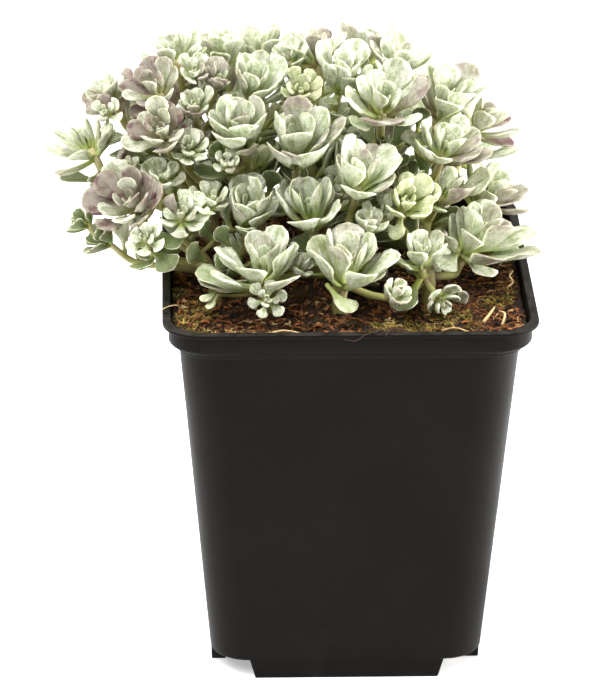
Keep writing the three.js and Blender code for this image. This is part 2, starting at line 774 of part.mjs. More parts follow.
// The origin is on the standing surface, under the middle of the whole outline.
const outline = new THREE.Box3().setFromObject(plant);
plant.position.set(-(outline.min.x + outline.max.x) / 2, -(outline.min.y + outline.max.y) / 2, 0);
plant.updateMatrixWorld(true);

export default plant;
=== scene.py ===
# %% [markdown]
# # A potted silver stonecrop
#
# The real thing is a mound of small fleshy rosettes that grows out of a black nursery pot. The packed
# CAD model already says where the pot, the soil, each stem and each rosette are, and how large they are.
# This lesson dresses that frame: each piece is modelled again, finer and in the same place, and gets a
# finish made of nodes. The frame is loaded first.

# %% Load the frame
import math
import random

import bmesh
import bpy
import numpy as np
from mathutils import Matrix, Vector, noise


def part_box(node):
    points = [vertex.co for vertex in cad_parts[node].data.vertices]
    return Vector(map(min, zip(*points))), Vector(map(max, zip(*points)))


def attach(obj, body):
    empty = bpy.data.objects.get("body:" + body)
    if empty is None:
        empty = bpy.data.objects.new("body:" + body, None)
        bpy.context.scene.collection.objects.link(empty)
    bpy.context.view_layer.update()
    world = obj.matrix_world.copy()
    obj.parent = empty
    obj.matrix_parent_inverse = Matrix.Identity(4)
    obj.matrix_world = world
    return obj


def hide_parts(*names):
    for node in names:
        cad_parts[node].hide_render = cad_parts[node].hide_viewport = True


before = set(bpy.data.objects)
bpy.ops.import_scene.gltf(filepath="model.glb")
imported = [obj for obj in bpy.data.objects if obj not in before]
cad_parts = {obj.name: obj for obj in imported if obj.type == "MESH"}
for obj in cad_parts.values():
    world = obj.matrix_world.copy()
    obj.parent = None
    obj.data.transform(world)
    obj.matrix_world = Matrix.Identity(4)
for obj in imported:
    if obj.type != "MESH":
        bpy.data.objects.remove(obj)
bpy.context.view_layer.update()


# %% [markdown]
# ## One measure for all pieces
#
# The pot was measured in millimetres from the middle of its foot, and the plant's places are read from
# there too. The frame's origin is under the middle of the whole outline, so it lies a little to one side.
# Every piece is therefore modelled in pot millimetres, and one matrix brings its mesh to the frame.

# %% From pot millimetres to the frame
pot_low, pot_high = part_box("pot")
pot_middle = (pot_low + pot_high) / 2
TO_FRAME = Matrix.Translation((pot_middle.x, pot_middle.y, 0)) @ Matrix.Scale(0.001, 4)
print("the pot's middle is at", round(pot_middle.x, 5), round(pot_middle.y, 5))

# %% [markdown]
# ## The camera
#
# The photograph was taken from about a metre away, a little above the plant, so the pot narrows towards
# its foot and the soil shows as a flat band. A long lens far away gives the same calm perspective. The
# place and the angles below were found from the pot's corners, which lie on a square of known width.

# %% Make the camera
CAMERA_PLACE = Vector((-42.9, -980.5, 502.8))
CAMERA_YAW = math.radians(-1.865)
CAMERA_PITCH = math.radians(23.606)
CAMERA_ROLL = 0.006
LENS_LENGTH, SENSOR_WIDTH = 222.05, 36

level = Vector((math.cos(CAMERA_YAW), math.sin(CAMERA_YAW), 0))
forward = Vector((
    -math.sin(CAMERA_YAW) * math.cos(CAMERA_PITCH),
    math.cos(CAMERA_YAW) * math.cos(CAMERA_PITCH),
    -math.sin(CAMERA_PITCH),
))
upright = level.cross(forward)
right = level * math.cos(CAMERA_ROLL) + upright * math.sin(CAMERA_ROLL)
top = upright * math.cos(CAMERA_ROLL) - level * math.sin(CAMERA_ROLL)

camera_lens = bpy.data.cameras.new("camera")
camera_lens.lens = LENS_LENGTH
camera_lens.sensor_width = SENSOR_WIDTH
camera = bpy.data.objects.new("camera", camera_lens)
bpy.context.scene.collection.objects.link(camera)
camera_turn = Matrix((right, top, -forward)).transposed().to_4x4()
camera.matrix_world = Matrix.Translation(TO_FRAME @ CAMERA_PLACE) @ camera_turn
bpy.context.scene.camera = camera
print("camera at", [round(value, 3) for value in camera.matrix_world.translation])

# %% [markdown]
# ## Nodes in plain steps
#
# A finish is a small network of nodes. Building one by hand in the editor takes many clicks, so here one
# helper adds a node, fills in its inputs, and makes a link where an input is another node's output.
# Patterns are read in object coordinates, which are metres on the real thing: a noise of scale 1000 has
# grains of about a millimetre.

# %% Helpers for nodes
def add_node(tree, kind, inputs=None, **settings):
    """Adds a node to a tree. An input is a plain value, or the output of another node."""
    made = tree.nodes.new(kind)
    for name, value in settings.items():
        setattr(made, name, value)
    for name, value in (inputs or {}).items():
        if isinstance(value, bpy.types.NodeSocket):
            tree.links.new(value, made.inputs[name])
        else:
            made.inputs[name].default_value = value
    return made


def fade(tree, value, low, high, at_low=0.0, at_high=1.0):
    """A value that runs smoothly from one level to another while its input goes from low to high."""
    return add_node(tree, "ShaderNodeMapRange", {
        "Value": value, "From Min": low, "From Max": high, "To Min": at_low, "To Max": at_high,
    }, interpolation_type="SMOOTHSTEP").outputs["Result"]


def calculate(tree, operation, first, second):
    """One step of arithmetic between two values, kept between 0 and 1."""
    made = add_node(tree, "ShaderNodeMath", {0: first, 1: second}, operation=operation, use_clamp=True)
    return made.outputs["Value"]


def blend_colours(tree, share, one, other, blend="MIX"):
    """One colour laid over another, as far as the share says."""
    made = add_node(tree, "ShaderNodeMix", {0: share, 6: one, 7: other}, data_type="RGBA", blend_type=blend)
    return made.outputs[2]


def grains(tree, scale, detail=3.0, rough=0.5):
    """Noise in object coordinates."""
    place = add_node(tree, "ShaderNodeTexCoord").outputs["Object"]
    return add_node(tree, "ShaderNodeTexNoise", {
        "Vector": place, "Scale": scale, "Detail": detail, "Roughness": rough,
    }).outputs["Fac"]


def new_group(name, inputs, outputs):
    """An empty group with named sockets. Returns the group with its two end nodes."""
    group = bpy.data.node_groups.new(name, "ShaderNodeTree")
    for socket, kind, value in inputs:
        made = group.interface.new_socket(socket, in_out="INPUT", socket_type=kind)
        made.default_value = value
    for socket, kind in outputs:
        group.interface.new_socket(socket, in_out="OUTPUT", socket_type=kind)
    return group, add_node(group, "NodeGroupInput"), add_node(group, "NodeGroupOutput")


def new_finish(name, **values):
    """An empty finish with its Principled shader. Returns the material, its tree and the shader."""
    finish = bpy.data.materials.new(name)
    finish.use_nodes = True
    shader = finish.node_tree.nodes["Principled BSDF"]
    for socket, value in values.items():
        shader.inputs[socket.replace("_", " ")].default_value = value
    return finish, finish.node_tree, shader


def use_group(tree, group, inputs):
    """Places a shared effect in a finish, with values of its own."""
    return add_node(tree, "ShaderNodeGroup", inputs, node_tree=group).outputs


def join(tree, shader, colour=None, roughness=None, height=None, relief=0.0001):
    """Feeds a shader. Relief is how high, in metres, the full height stands."""
    if colour is not None:
        tree.links.new(colour, shader.inputs["Base Color"])
    if roughness is not None:
        tree.links.new(roughness, shader.inputs["Roughness"])
    if height is not None:
        bump = add_node(tree, "ShaderNodeBump", {"Height": height, "Distance": relief, "Strength": 1.0})
        tree.links.new(bump.outputs["Normal"], shader.inputs["Normal"])


def attribute(tree, name):
    """The three values that a piece's vertices carry under a name."""
    colour = add_node(tree, "ShaderNodeAttribute", attribute_name=name).outputs["Color"]
    parts = add_node(tree, "ShaderNodeSeparateColor", {"Color": colour}).outputs
    return parts["Red"], parts["Green"], parts["Blue"]


# %% [markdown]
# ## Speckle, an effect that many finishes share
#
# Plastic, soil, bark and stems all show two sizes of unevenness: broad clouds, where dust or damp lies,
# and fine grains. Drawing both again in each finish would be long to read and hard to change, so they
# are one group, and each finish sets its own colours and sizes.

# %% The speckle group
speckle, given, result = new_group("speckle", [
    ("Light", "NodeSocketColor", (0.5, 0.5, 0.5, 1)),
    ("Dark", "NodeSocketColor", (0.1, 0.1, 0.1, 1)),
    ("Cloud Scale", "NodeSocketFloat", 60.0),
    ("Grain Scale", "NodeSocketFloat", 1200.0),
    ("Grain Share", "NodeSocketFloat", 0.5),
], [("Color", "NodeSocketColor"), ("Mask", "NodeSocketFloat"), ("Height", "NodeSocketFloat")])
place = add_node(speckle, "ShaderNodeTexCoord").outputs["Object"]
cloud = add_node(speckle, "ShaderNodeTexNoise", {
    "Vector": place, "Scale": given.outputs["Cloud Scale"], "Detail": 4.0,
}).outputs["Fac"]
grain = add_node(speckle, "ShaderNodeTexNoise", {
    "Vector": place, "Scale": given.outputs["Grain Scale"], "Detail": 5.0, "Roughness": 0.65,
}).outputs["Fac"]
both = add_node(speckle, "ShaderNodeMix", {
    "Factor": given.outputs["Grain Share"], "A": cloud, "B": grain,
}, data_type="FLOAT").outputs["Result"]
mask = fade(speckle, both, 0.36, 0.62)
mottled = blend_colours(speckle, mask, given.outputs["Dark"], given.outputs["Light"])
speckle.links.new(mottled, result.inputs["Color"])
speckle.links.new(mask, result.inputs["Mask"])
speckle.links.new(grain, result.inputs["Height"])
print("speckle group:", len(speckle.nodes), "nodes")

# %% [markdown]
# ## Floor and light
#
# The photograph was taken in even studio light on white, which keeps the silver leaves pale and their
# shadows soft. A large soft light above and in front does that for the leaves. Black plastic shows hardly
# any colour of its own, only what it mirrors, so two tall narrow lights stand beside and behind the pot to
# draw its edges, and the surround is bright behind and dark in front, as in a studio. The floor glows a
# little, because the photograph's own is so bright that shadows on it are lost.

# %% Make the floor
FLOOR_SIZE = 3
FLOOR_GLOW = 0.4
floor_finish, tree, shader = new_finish("pale_floor", Roughness=0.9, Emission_Strength=FLOOR_GLOW)
white = use_group(tree, speckle, {
    "Light": (0.93, 0.93, 0.93, 1), "Dark": (0.9, 0.9, 0.9, 1), "Cloud Scale": 9.0, "Grain Scale": 300.0,
})
join(tree, shader, colour=white["Color"])
floor_shape = bmesh.new()
bmesh.ops.create_grid(floor_shape, x_segments=1, y_segments=1, size=FLOOR_SIZE)
floor_mesh = bpy.data.meshes.new("floor")
floor_shape.to_mesh(floor_mesh)
floor_shape.free()
floor_mesh.materials.append(floor_finish)
floor = bpy.data.objects.new("floor", floor_mesh)
bpy.context.scene.collection.objects.link(floor)
print("floor:", len(floor_mesh.polygons), "face")


# %% Make the light
def soft_light(name, place, target, size, watts, tint=(1, 1, 1)):
    """A soft light of some width and height that faces a point, all in metres."""
    lamp = bpy.data.lights.new(name, "AREA")
    lamp.shape = "RECTANGLE"
    lamp.size, lamp.size_y = size
    lamp.energy = watts
    lamp.color = tint
    light = bpy.data.objects.new(name, lamp)
    bpy.context.scene.collection.objects.link(light)
    direction = Vector(target) - Vector(place)
    light.matrix_world = Matrix.Translation(place) @ direction.to_track_quat("-Z", "Y").to_matrix().to_4x4()
    return light


soft_light("key", (-0.45, -0.55, 1.2), (0, 0, 0.1), (1.1, 1.1), 26.5)
soft_light("left_edge", (-0.8, 0.75, 0.3), (0, 0, 0.06), (0.25, 0.7), 12, (1, 0.95, 0.88))
soft_light("right_edge", (1.0, -0.15, 0.25), (0, 0, 0.06), (0.4, 0.8), 24, (1, 0.98, 0.96))
surround = bpy.data.worlds.new("surround")
surround.use_nodes = True
tree = surround.node_tree
backwards = add_node(tree, "ShaderNodeSeparateXYZ", {
    "Vector": add_node(tree, "ShaderNodeTexCoord").outputs["Generated"],
}).outputs["Y"]
surround_light = tree.nodes["Background"].inputs
tree.links.new(fade(tree, backwards, -0.6, 0.3, 0.12, 0.85), surround_light["Strength"])
surround_light["Color"].default_value = (1, 1, 1, 1)
bpy.context.scene.world = surround
bpy.context.scene.view_settings.view_transform = "Standard"
print("lights:", [item.name for item in bpy.data.lights])

# %% [markdown]
# ## Rings and copies
#
# Nearly every piece here is a ring that is drawn out: the pot's wall, a stem, a fibre, a leaf. One helper
# extrudes a ring of edges and moves the new ring where it belongs. A shape that is needed hundreds of
# times is modelled once, and its copies are bent into place by moving their vertices, which is far
# quicker than extruding each one.

# %% Helpers for shapes
def start_ring(shape, outline):
    """A closed ring of vertices along an outline."""
    ring = bmesh.ops.create_circle(shape, cap_ends=False, radius=1, segments=len(outline))["verts"]
    for vertex, point in zip(ring, outline):
        vertex.co = point
    return ring


def ring_edges(ring):
    """The edges between a ring's own vertices."""
    members = set(ring)
    edges = {edge for vertex in ring for edge in vertex.link_edges if edge.other_vert(vertex) in members}
    return sorted(edges, key=lambda edge: edge.index)


def grow_ring(shape, ring, outline):
    """Extrudes a ring and moves the new ring onto an outline."""
    order = {tuple(vertex.co): index for index, vertex in enumerate(ring)}
    grown = bmesh.ops.extrude_edge_only(shape, edges=ring_edges(ring))["geom"]
    fresh = [item for item in grown if isinstance(item, bmesh.types.BMVert)]
    fresh.sort(key=lambda vertex: order[tuple(vertex.co)])
    for vertex, point in zip(fresh, outline):
        vertex.co = point
    return fresh


def close_ring(shape, ring):
    """Fills a ring with one face."""
    bmesh.ops.edgeloop_fill(shape, edges=ring_edges(ring))


def draw_out(outlines):
    """A closed body through several outlines, from the first to the last."""
    shape = bmesh.new()
    first = ring = start_ring(shape, outlines[0])
    for outline in outlines[1:]:
        ring = grow_ring(shape, ring, outline)
    close_ring(shape, first)
    close_ring(shape, ring)
    bmesh.ops.recalc_face_normals(shape, faces=shape.faces)
    return shape


def to_mesh(shape, name):
    """A mesh from a shape, which is then let go."""
    mesh = bpy.data.meshes.new(name)
    shape.to_mesh(mesh)
    shape.free()
    return mesh


def finish_piece(name, shape, finish, nodes):
    """Brings a shape in pot millimetres to the frame, as a piece that stands for some CAD nodes."""
    shape.transform(TO_FRAME)
    mesh = to_mesh(shape, name)
    mesh.shade_smooth()
    mesh.materials.append(finish)
    piece = bpy.data.objects.new(name, mesh)
    bpy.context.scene.collection.objects.link(piece)
    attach(piece, "root")
    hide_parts(*nodes)
    return piece


def spread_copies(template, places, marks=None):
    """A shape of many copies of one mesh. Places holds a point for each vertex of each copy, and marks
    holds three values for each, under a name."""
    shape = bmesh.new()
    layers = {name: shape.verts.layers.float_color.new(name) for name in (marks or {})}
    for _ in range(len(places)):
        shape.from_mesh(template)
    shape.verts.ensure_lookup_table()
    points = np.concatenate(places).reshape(-1, 3).tolist()
    for vertex, point in zip(shape.verts, points):
        vertex.co = point
    for name, layer in layers.items():
        values = np.concatenate(marks[name]).reshape(-1, 3).tolist()
        for vertex, value in zip(shape.verts, values):
            vertex[layer] = (*value, 1)
    return shape


# %% [markdown]
# ## The pot
#
# It is a thin tub of moulded plastic: four tapered walls with round corners, a small ledge, a rolled band
# under a flat lip, and a raised floor with five drains between four low skirts. The body's corners are
# rounder than the lip's, which spreads the light along them. A cube with a Subdivision Surface would lose
# the crisp ledge, so a rounded square is drawn up through each change of width, over the lip, and down the
# inside, which gives the wall its real thickness in one closed body.

# %% The pot's sizes
LIP_WIDTH = 90.0
LIP_CORNER = 9.5
CORNER_SHRINK = 0.16
CORNER_STEPS = 9
BASE_CORNER, BODY_CORNER = 9.6, 12.4
BAND_WIDTH = 87.0
LEDGE_WIDTH = 83.8
BODY_TOP_WIDTH = 82.2
BASE_WIDTH = 67.1
FOOT_HEIGHT = 5.0
FLOOR_TOP = 6.5
BODY_TOP = 89.8
LEDGE_TOP = 91.0
BAND_BOTTOM = 92.3
LIP_BOTTOM = 96.3
POT_HEIGHT = 97.5
WALL = 1.3
BAND_WALL = 0.6


def body_width(height):
    """The body's outer width at a height, along its straight taper."""
    taper = (BODY_TOP_WIDTH - BASE_WIDTH) * (height - FOOT_HEIGHT) / (BODY_TOP - FOOT_HEIGHT)
    return BASE_WIDTH + taper


def lip_corner(width):
    """The corner's radius at the lip, the band and the soil's edge, which shrinks with the width."""
    return LIP_CORNER - (LIP_WIDTH - width) * CORNER_SHRINK


def corner_radius(width, height):
    """The corner's radius: the body's corners are rounder than the lip's, and widen upwards."""
    if height > BODY_TOP:
        return lip_corner(width)
    up = (height - FOOT_HEIGHT) / (BODY_TOP - FOOT_HEIGHT)
    return BASE_CORNER + (BODY_CORNER - BASE_CORNER) * up - (body_width(height) - width) / 2


def pot_outline(width, height):
    """A square with round corners."""
    corner = corner_radius(width, height)
    inset = width / 2 - corner
    points = []
    for quarter in range(4):
        x, y = inset if quarter in (0, 3) else -inset, inset if quarter < 2 else -inset
        middle = Vector((x, y, height))
        for step in range(CORNER_STEPS + 1):
            angle = math.radians(90 * (quarter + step / CORNER_STEPS))
            points.append(middle + corner * Vector((math.cos(angle), math.sin(angle), 0)))
    return points


print("an outline has", len(pot_outline(LIP_WIDTH, POT_HEIGHT)), "points")

# %% Draw up the wall
outside = [
    (BASE_WIDTH, FOOT_HEIGHT), (body_width(34), 34), (body_width(62), 62), (BODY_TOP_WIDTH, BODY_TOP),
    (LEDGE_WIDTH - 0.5, BODY_TOP + 0.2), (LEDGE_WIDTH, LEDGE_TOP),
    (BAND_WIDTH - 0.9, BAND_BOTTOM - 0.6), (BAND_WIDTH, BAND_BOTTOM), (BAND_WIDTH, LIP_BOTTOM),
    (LIP_WIDTH, LIP_BOTTOM + 0.2), (LIP_WIDTH, POT_HEIGHT),
]
inside = [
    (BAND_WIDTH - 2 * BAND_WALL, POT_HEIGHT), (BAND_WIDTH - 2 * BAND_WALL, BAND_BOTTOM),
    (LEDGE_WIDTH - 2 * WALL, LEDGE_TOP - 0.4), (BODY_TOP_WIDTH - 2 * WALL, BODY_TOP - 0.4),
    (body_width(50) - 2 * WALL, 50), (body_width(FLOOR_TOP) - 2 * WALL, FLOOR_TOP),
]
pot_rings = [pot_outline(width, height) for width, height in outside + inside]
pot_mesh = to_mesh(draw_out(pot_rings), "tub")
print("tub:", len(pot_mesh.polygons), "faces")

# %% [markdown]
# The drains are round holes. A Boolean modifier cuts them in one step: it is applied by taking the
# evaluated mesh, and both helper objects are then removed. The four skirts under the floor are cubes
# whose lower corners are drawn in, because the real ones lean in towards the surface that they stand on.

# %% Cut the drains
DRAIN_PLACES = ((0, 0), (17, 17), (-17, 17), (-17, -17), (17, -17))
DRAIN_RADIUS = 4
DRILL_LENGTH, DRILL_MIDDLE = 4.5, 5.75
drills = bmesh.new()
for x, y in DRAIN_PLACES:
    bmesh.ops.create_cone(
        drills, cap_ends=True, segments=24, radius1=DRAIN_RADIUS, radius2=DRAIN_RADIUS, depth=DRILL_LENGTH,
        matrix=Matrix.Translation((x, y, DRILL_MIDDLE)),
    )
tub = bpy.data.objects.new("tub", pot_mesh)
drill = bpy.data.objects.new("drill", to_mesh(drills, "drill"))
for item in (tub, drill):
    bpy.context.scene.collection.objects.link(item)
cut = tub.modifiers.new("drains", "BOOLEAN")
cut.operation = "DIFFERENCE"
cut.object = drill
bpy.context.view_layer.update()
drained = bpy.data.meshes.new_from_object(tub.evaluated_get(bpy.context.evaluated_depsgraph_get()))
for item in (tub, drill):
    bpy.data.objects.remove(item)
print("drains:", len(DRAIN_PLACES))

# %% Add the skirts
SKIRT_TOP, SKIRT_BOTTOM, SKIRT_WALL = 48.6, 45.2, 3.6
SKIRT_HEIGHT, SKIRT_SET_IN = 6, 0.2
pot_shape = bmesh.new()
pot_shape.from_mesh(drained)
for side in range(4):
    made = bmesh.ops.create_cube(pot_shape, size=1)["verts"]
    for vertex in made:
        low = vertex.co.z < 0
        vertex.co.x *= SKIRT_BOTTOM if low else SKIRT_TOP
        vertex.co.y = vertex.co.y * SKIRT_WALL - (BASE_WIDTH - SKIRT_WALL) / 2 + SKIRT_SET_IN
        vertex.co.z = 0 if low else SKIRT_HEIGHT
    quarter_turn = Matrix.Rotation(side * math.pi / 2, 3, "Z")
    bmesh.ops.rotate(pot_shape, cent=(0, 0, 0), matrix=quarter_turn, verts=made)
print("pot shape:", len(pot_shape.faces), "faces")

# %% [markdown]
# ### Black plastic
#
# Nursery pots are pressed from recycled black plastic. It isn't one black: it is a warm near-black with
# a dull, slightly wavy sheen, fine pits, and a trace of pale dust. Faces that look up are tinted paler,
# partly by settled dust and partly as a painted highlight for the light along the lip's top. A
# soft Bevel modifier rounds the edges, which is what catches the light along the lip.

# %% The plastic finish
plastic, tree, shader = new_finish("black_plastic", Specular_IOR_Level=0.085)
black = use_group(tree, speckle, {
    "Light": (0.004, 0.003, 0.002, 1), "Dark": (0.002, 0.0014, 0.0009, 1),
    "Cloud Scale": 38.0, "Grain Scale": 2600.0, "Grain Share": 0.45,
})
height_up = add_node(tree, "ShaderNodeSeparateXYZ", {
    "Vector": add_node(tree, "ShaderNodeTexCoord").outputs["Object"],
}).outputs["Z"]
near_foot = fade(tree, height_up, 0.03, 0.0, 0.0, 0.03)
dust_clouds = fade(tree, grains(tree, 90, 6, 0.7), 0.5, 0.72)
dust_and_highlight = calculate(tree, "MULTIPLY", dust_clouds, calculate(tree, "ADD", near_foot, 0.012))
# Faces that look up are tinted paler: partly settled dust, partly a painted highlight where the lip's top
# catches the light.
facing_up_dust_and_highlight = fade(tree, add_node(tree, "ShaderNodeSeparateXYZ", {
    "Vector": add_node(tree, "ShaderNodeNewGeometry").outputs["Normal"],
}).outputs["Z"], 0.4, 0.9, 0.0, 0.35)
settled_dust_and_highlight = calculate(tree, "MULTIPLY", facing_up_dust_and_highlight, fade(tree, grains(tree, 260, 5, 0.7), 0.35, 0.6))
dust_and_highlight = calculate(tree, "ADD", dust_and_highlight, settled_dust_and_highlight)
dusty_and_highlighted = blend_colours(tree, dust_and_highlight, black["Color"], (0.085, 0.078, 0.068, 1))
dull = fade(tree, grains(tree, 22, 3), 0.3, 0.7, 0.36, 0.5)
duller = calculate(tree, "ADD", dull, calculate(tree, "MULTIPLY", dust_and_highlight, 0.6))
join(tree, shader, dusty_and_highlighted, duller, black["Height"], 0.00006)
print("black plastic:", len(tree.nodes), "nodes")

# %% Finish the pot
SHARP_FROM, ROUNDED_FROM = math.radians(50), math.radians(40)
pot = finish_piece("nursery_pot", pot_shape, plastic, ["pot"])
pot.data.set_sharp_from_angle(angle=SHARP_FROM)
rounding = pot.modifiers.new("rounding", "BEVEL")
rounding.width = 0.0003
rounding.segments = 2
rounding.limit_method = "ANGLE"
rounding.angle_limit = ROUNDED_FROM
print("pot:", len(pot.data.polygons), "faces before its bevel")

# %% [markdown]
# ## The soil
#
# The pot is filled with a fibrous mix: fine dark crumbs, red-brown flakes of bark, a felt of coconut
# fibre, a few pale roots, and moss where light reaches it. Displacing one plane would look like dough, so
# a rough bed is made first, from a grid that is pulled in to the pot's round corners and drawn down to
# the floor. It banks up against the band, where fingers and water have pushed it. The flakes, fibres and
# moss are then strewn over it as shapes of their own.

# %% The lie of the soil
SOIL_TOP = 90.0
SOIL_BUMP = 1.1
CLOD_HEIGHT, CRUMB_HEIGHT = 1.1, 0.55
BED_WIDTH = BAND_WIDTH - 2 * BAND_WALL - 0.3
BANK_START, BANK_HEIGHT = 29.0, 4.0
BED_EDGE_LOWEST = BAND_BOTTOM + 0.5


def soil_height(x, y):
    """The broad lie of the soil, as in the CAD frame."""
    broad = math.sin(x * 0.18) * math.cos(y * 0.18)
    fine = math.sin((x - y) * 0.42)
    return SOIL_TOP + SOIL_BUMP * (broad + (fine - broad) * 0.35)


def crumbs(x, y):
    """The bed's surface, with clods and crumbs on the broad lie."""
    clods = noise.fractal(Vector((x, y, 3)) * 0.22, 1.0, 2.0, 3)
    fine = noise.fractal(Vector((x, y, 9)) * 0.9, 0.8, 2.1, 3)
    banked = min(1, max(0, max(abs(x), abs(y)) - BANK_START) / (BED_WIDTH / 2 - BANK_START))
    heap = soil_height(x, y) + CLOD_HEIGHT * clods + CRUMB_HEIGHT * fine
    return heap + BANK_HEIGHT * banked * banked * (3 - 2 * banked)


def move_round(x, y, inset, rule):
    """Moves a point that lies past both insets, by a share of its way from the corner's middle."""
    far_x, far_y = abs(x) - inset, abs(y) - inset
    if far_x > 0 and far_y > 0:
        scale = rule(far_x, far_y) / math.hypot(far_x, far_y)
        x = math.copysign(inset + far_x * scale, x)
        y = math.copysign(inset + far_y * scale, y)
    return x, y


def pull_in(x, y, width):
    """Moves a point of a square in to the pot's rounded outline."""
    return move_round(x, y, width / 2 - lip_corner(width), max)


def onto_corner(x, y, width, height):
    """Moves a point of the bed's outline on to the rounder corner of the pot's body."""
    corner = corner_radius(width, height)
    return move_round(x, y, width / 2 - corner, lambda far_x, far_y: corner)


print("soil at the middle and at the edge:", round(crumbs(0, 0), 1), round(crumbs(0, BED_WIDTH / 2), 1))

# %% The bed
BED_STEPS = 110
EDGE_DROP = 0.6
BED_PLAY = 0.6
bed_shape = bmesh.new()
bmesh.ops.create_grid(bed_shape, x_segments=BED_STEPS, y_segments=BED_STEPS, size=BED_WIDTH / 2)
rim_edges = [edge for edge in bed_shape.edges if edge.is_boundary]
for vertex in bed_shape.verts:
    x, y = pull_in(vertex.co.x, vertex.co.y, BED_WIDTH)
    z = max(BED_EDGE_LOWEST, crumbs(x, y) - EDGE_DROP) if vertex.is_boundary else crumbs(x, y)
    vertex.co = (x, y, z)
for inner_width, height in ((LEDGE_WIDTH - 2 * WALL, LEDGE_TOP - 0.4),
                            (body_width(BODY_TOP - 2) - 2 * WALL, BODY_TOP - 2),
                            (body_width(FLOOR_TOP) - 2 * WALL, FLOOR_TOP + 0.3)):
    width = inner_width - BED_PLAY
    drawn = bmesh.ops.extrude_edge_only(bed_shape, edges=rim_edges)["geom"]
    lower = [item for item in drawn if isinstance(item, bmesh.types.BMVert)]
    shrink = width / 2 / max(vertex.co.x for vertex in lower)
    for vertex in lower:
        vertex.co = (*onto_corner(vertex.co.x * shrink, vertex.co.y * shrink, width, height), height)
    rim_edges = [item for item in drawn if isinstance(item, bmesh.types.BMEdge) and item.is_boundary]
bmesh.ops.edgeloop_fill(bed_shape, edges=rim_edges)
bmesh.ops.recalc_face_normals(bed_shape, faces=bed_shape.faces)
print("bed:", len(bed_shape.faces), "faces")

# %% Dark crumbs
earth, tree, shader = new_finish("dark_crumbs")
brown = use_group(tree, speckle, {
    "Light": (0.06, 0.026, 0.01, 1), "Dark": (0.008, 0.004, 0.002, 1),
    "Cloud Scale": 160.0, "Grain Scale": 1500.0, "Grain Share": 0.6,
})
mossy = fade(tree, grains(tree, 55, 3), 0.52, 0.66, 0, 0.6)
join(tree, shader, blend_colours(tree, mossy, brown["Color"], (0.07, 0.05, 0.01, 1)),
     fade(tree, brown["Mask"], 0, 1, 0.8, 0.95), brown["Height"], 0.0006)
bed = finish_piece("soil_bed", bed_shape, earth, ["soil"])
print("soil bed:", len(bed.data.polygons), "faces")

# %% [markdown]
# ### Flakes, fibres and moss
#
# Three small shapes are modelled once each: a flake of bark is a cube with bevelled edges, a fibre is a
# square thread, and a blade of moss is a three-sided spike. Each copy gets its own place, turn and bend
# from a seeded generator, so the same litter falls every time the script runs. Random numbers carried by
# the vertices let one finish give every copy a shade of its own.

# %% Model the small shapes
def thread_template(name, sides, steps, taper):
    """A straight thread along Z from 0 to 1, with a radius of 1 that tapers towards its end."""
    outlines = []
    for step in range(steps + 1):
        along = step / steps
        radius = 1 - taper * along
        angles = [2 * math.pi * i / sides for i in range(sides)]
        outlines.append([Vector((radius * math.cos(a), radius * math.sin(a), along)) for a in angles])
    return to_mesh(draw_out(outlines), name)


flake_shape = bmesh.new()
bmesh.ops.create_cube(flake_shape, size=2)
bmesh.ops.bevel(
    flake_shape, geom=flake_shape.edges[:], affect="EDGES", offset=0.5, segments=1, profile=0.5, material=-1,
)
flake = to_mesh(flake_shape, "flake")
fibre = thread_template("fibre", 4, 8, 0.35)
shred = thread_template("shred", 4, 3, 0.5)
moss_blade = thread_template("moss_blade", 3, 3, 0.9)


def points_of(mesh):
    """A mesh's vertices as rows of numbers."""
    rows = np.zeros(len(mesh.vertices) * 3)
    mesh.vertices.foreach_get("co", rows)
    return rows.reshape(-1, 3)


small_shapes = (flake, fibre, shred, moss_blade)
print("flake, fibre, shred, moss blade:", [len(mesh.polygons) for mesh in small_shapes], "faces")


# %% Find a place for a flake or a thread
FLAKE_SEED, FIBRE_SEED, SHRED_SEED, MOSS_SEED = 11, 12, 13, 21


def soil_spot(chance, edge=1.5):
    """A random spot on the bed, with a few more towards its edge, where nothing covers it."""
    reach = BED_WIDTH / 2 - edge
    while True:
        x, y = chance.uniform(-reach, reach), chance.uniform(-reach, reach)
        if chance.random() < 0.35 + 0.65 * (max(abs(x), abs(y)) / reach) ** 2:
            x, y = pull_in(x, y, BED_WIDTH - 2 * edge)
            return x, y, crumbs(x, y)


def lay_flake(chance):
    """One flake: its size, tilt and place."""
    size = (chance.uniform(0.5, 2.0), chance.uniform(0.3, 0.9), chance.uniform(0.2, 0.45))
    shape = points_of(flake) * size
    shape[:, :2] *= 1 + 0.25 * np.sin(shape[:, [1, 0]] * 3 + chance.random() * 6)
    lean_x, lean_y = chance.uniform(-0.7, 0.7), chance.uniform(-0.7, 0.7)
    tilt = Matrix.Rotation(lean_x, 3, "X") @ Matrix.Rotation(lean_y, 3, "Y")
    turn = Matrix.Rotation(chance.uniform(0, 2 * math.pi), 3, "Z") @ tilt
    x, y, z = soil_spot(chance, 2.6)
    return shape @ np.array(turn).T + (x, y, z + 0.25)


def keep_inside(rows):
    """Brings points that lie past the band's inner face back to it, also at its round corners."""
    corner = lip_corner(BED_WIDTH)
    inset = BED_WIDTH / 2 - corner
    flat = rows[:, :2]
    held = np.clip(flat, -inset, inset)
    past = flat - held
    reach = np.maximum(np.linalg.norm(past, axis=1), 0.001)
    rows[:, :2] = held + past * np.minimum(1, (corner - 0.1) / reach)[:, None]
    near_wall = np.abs(rows[:, :2]).max(axis=1) > BED_WIDTH / 2 - 3.5
    rows[:, 2] = np.where(near_wall, np.maximum(rows[:, 2], BED_EDGE_LOWEST), rows[:, 2])
    return rows


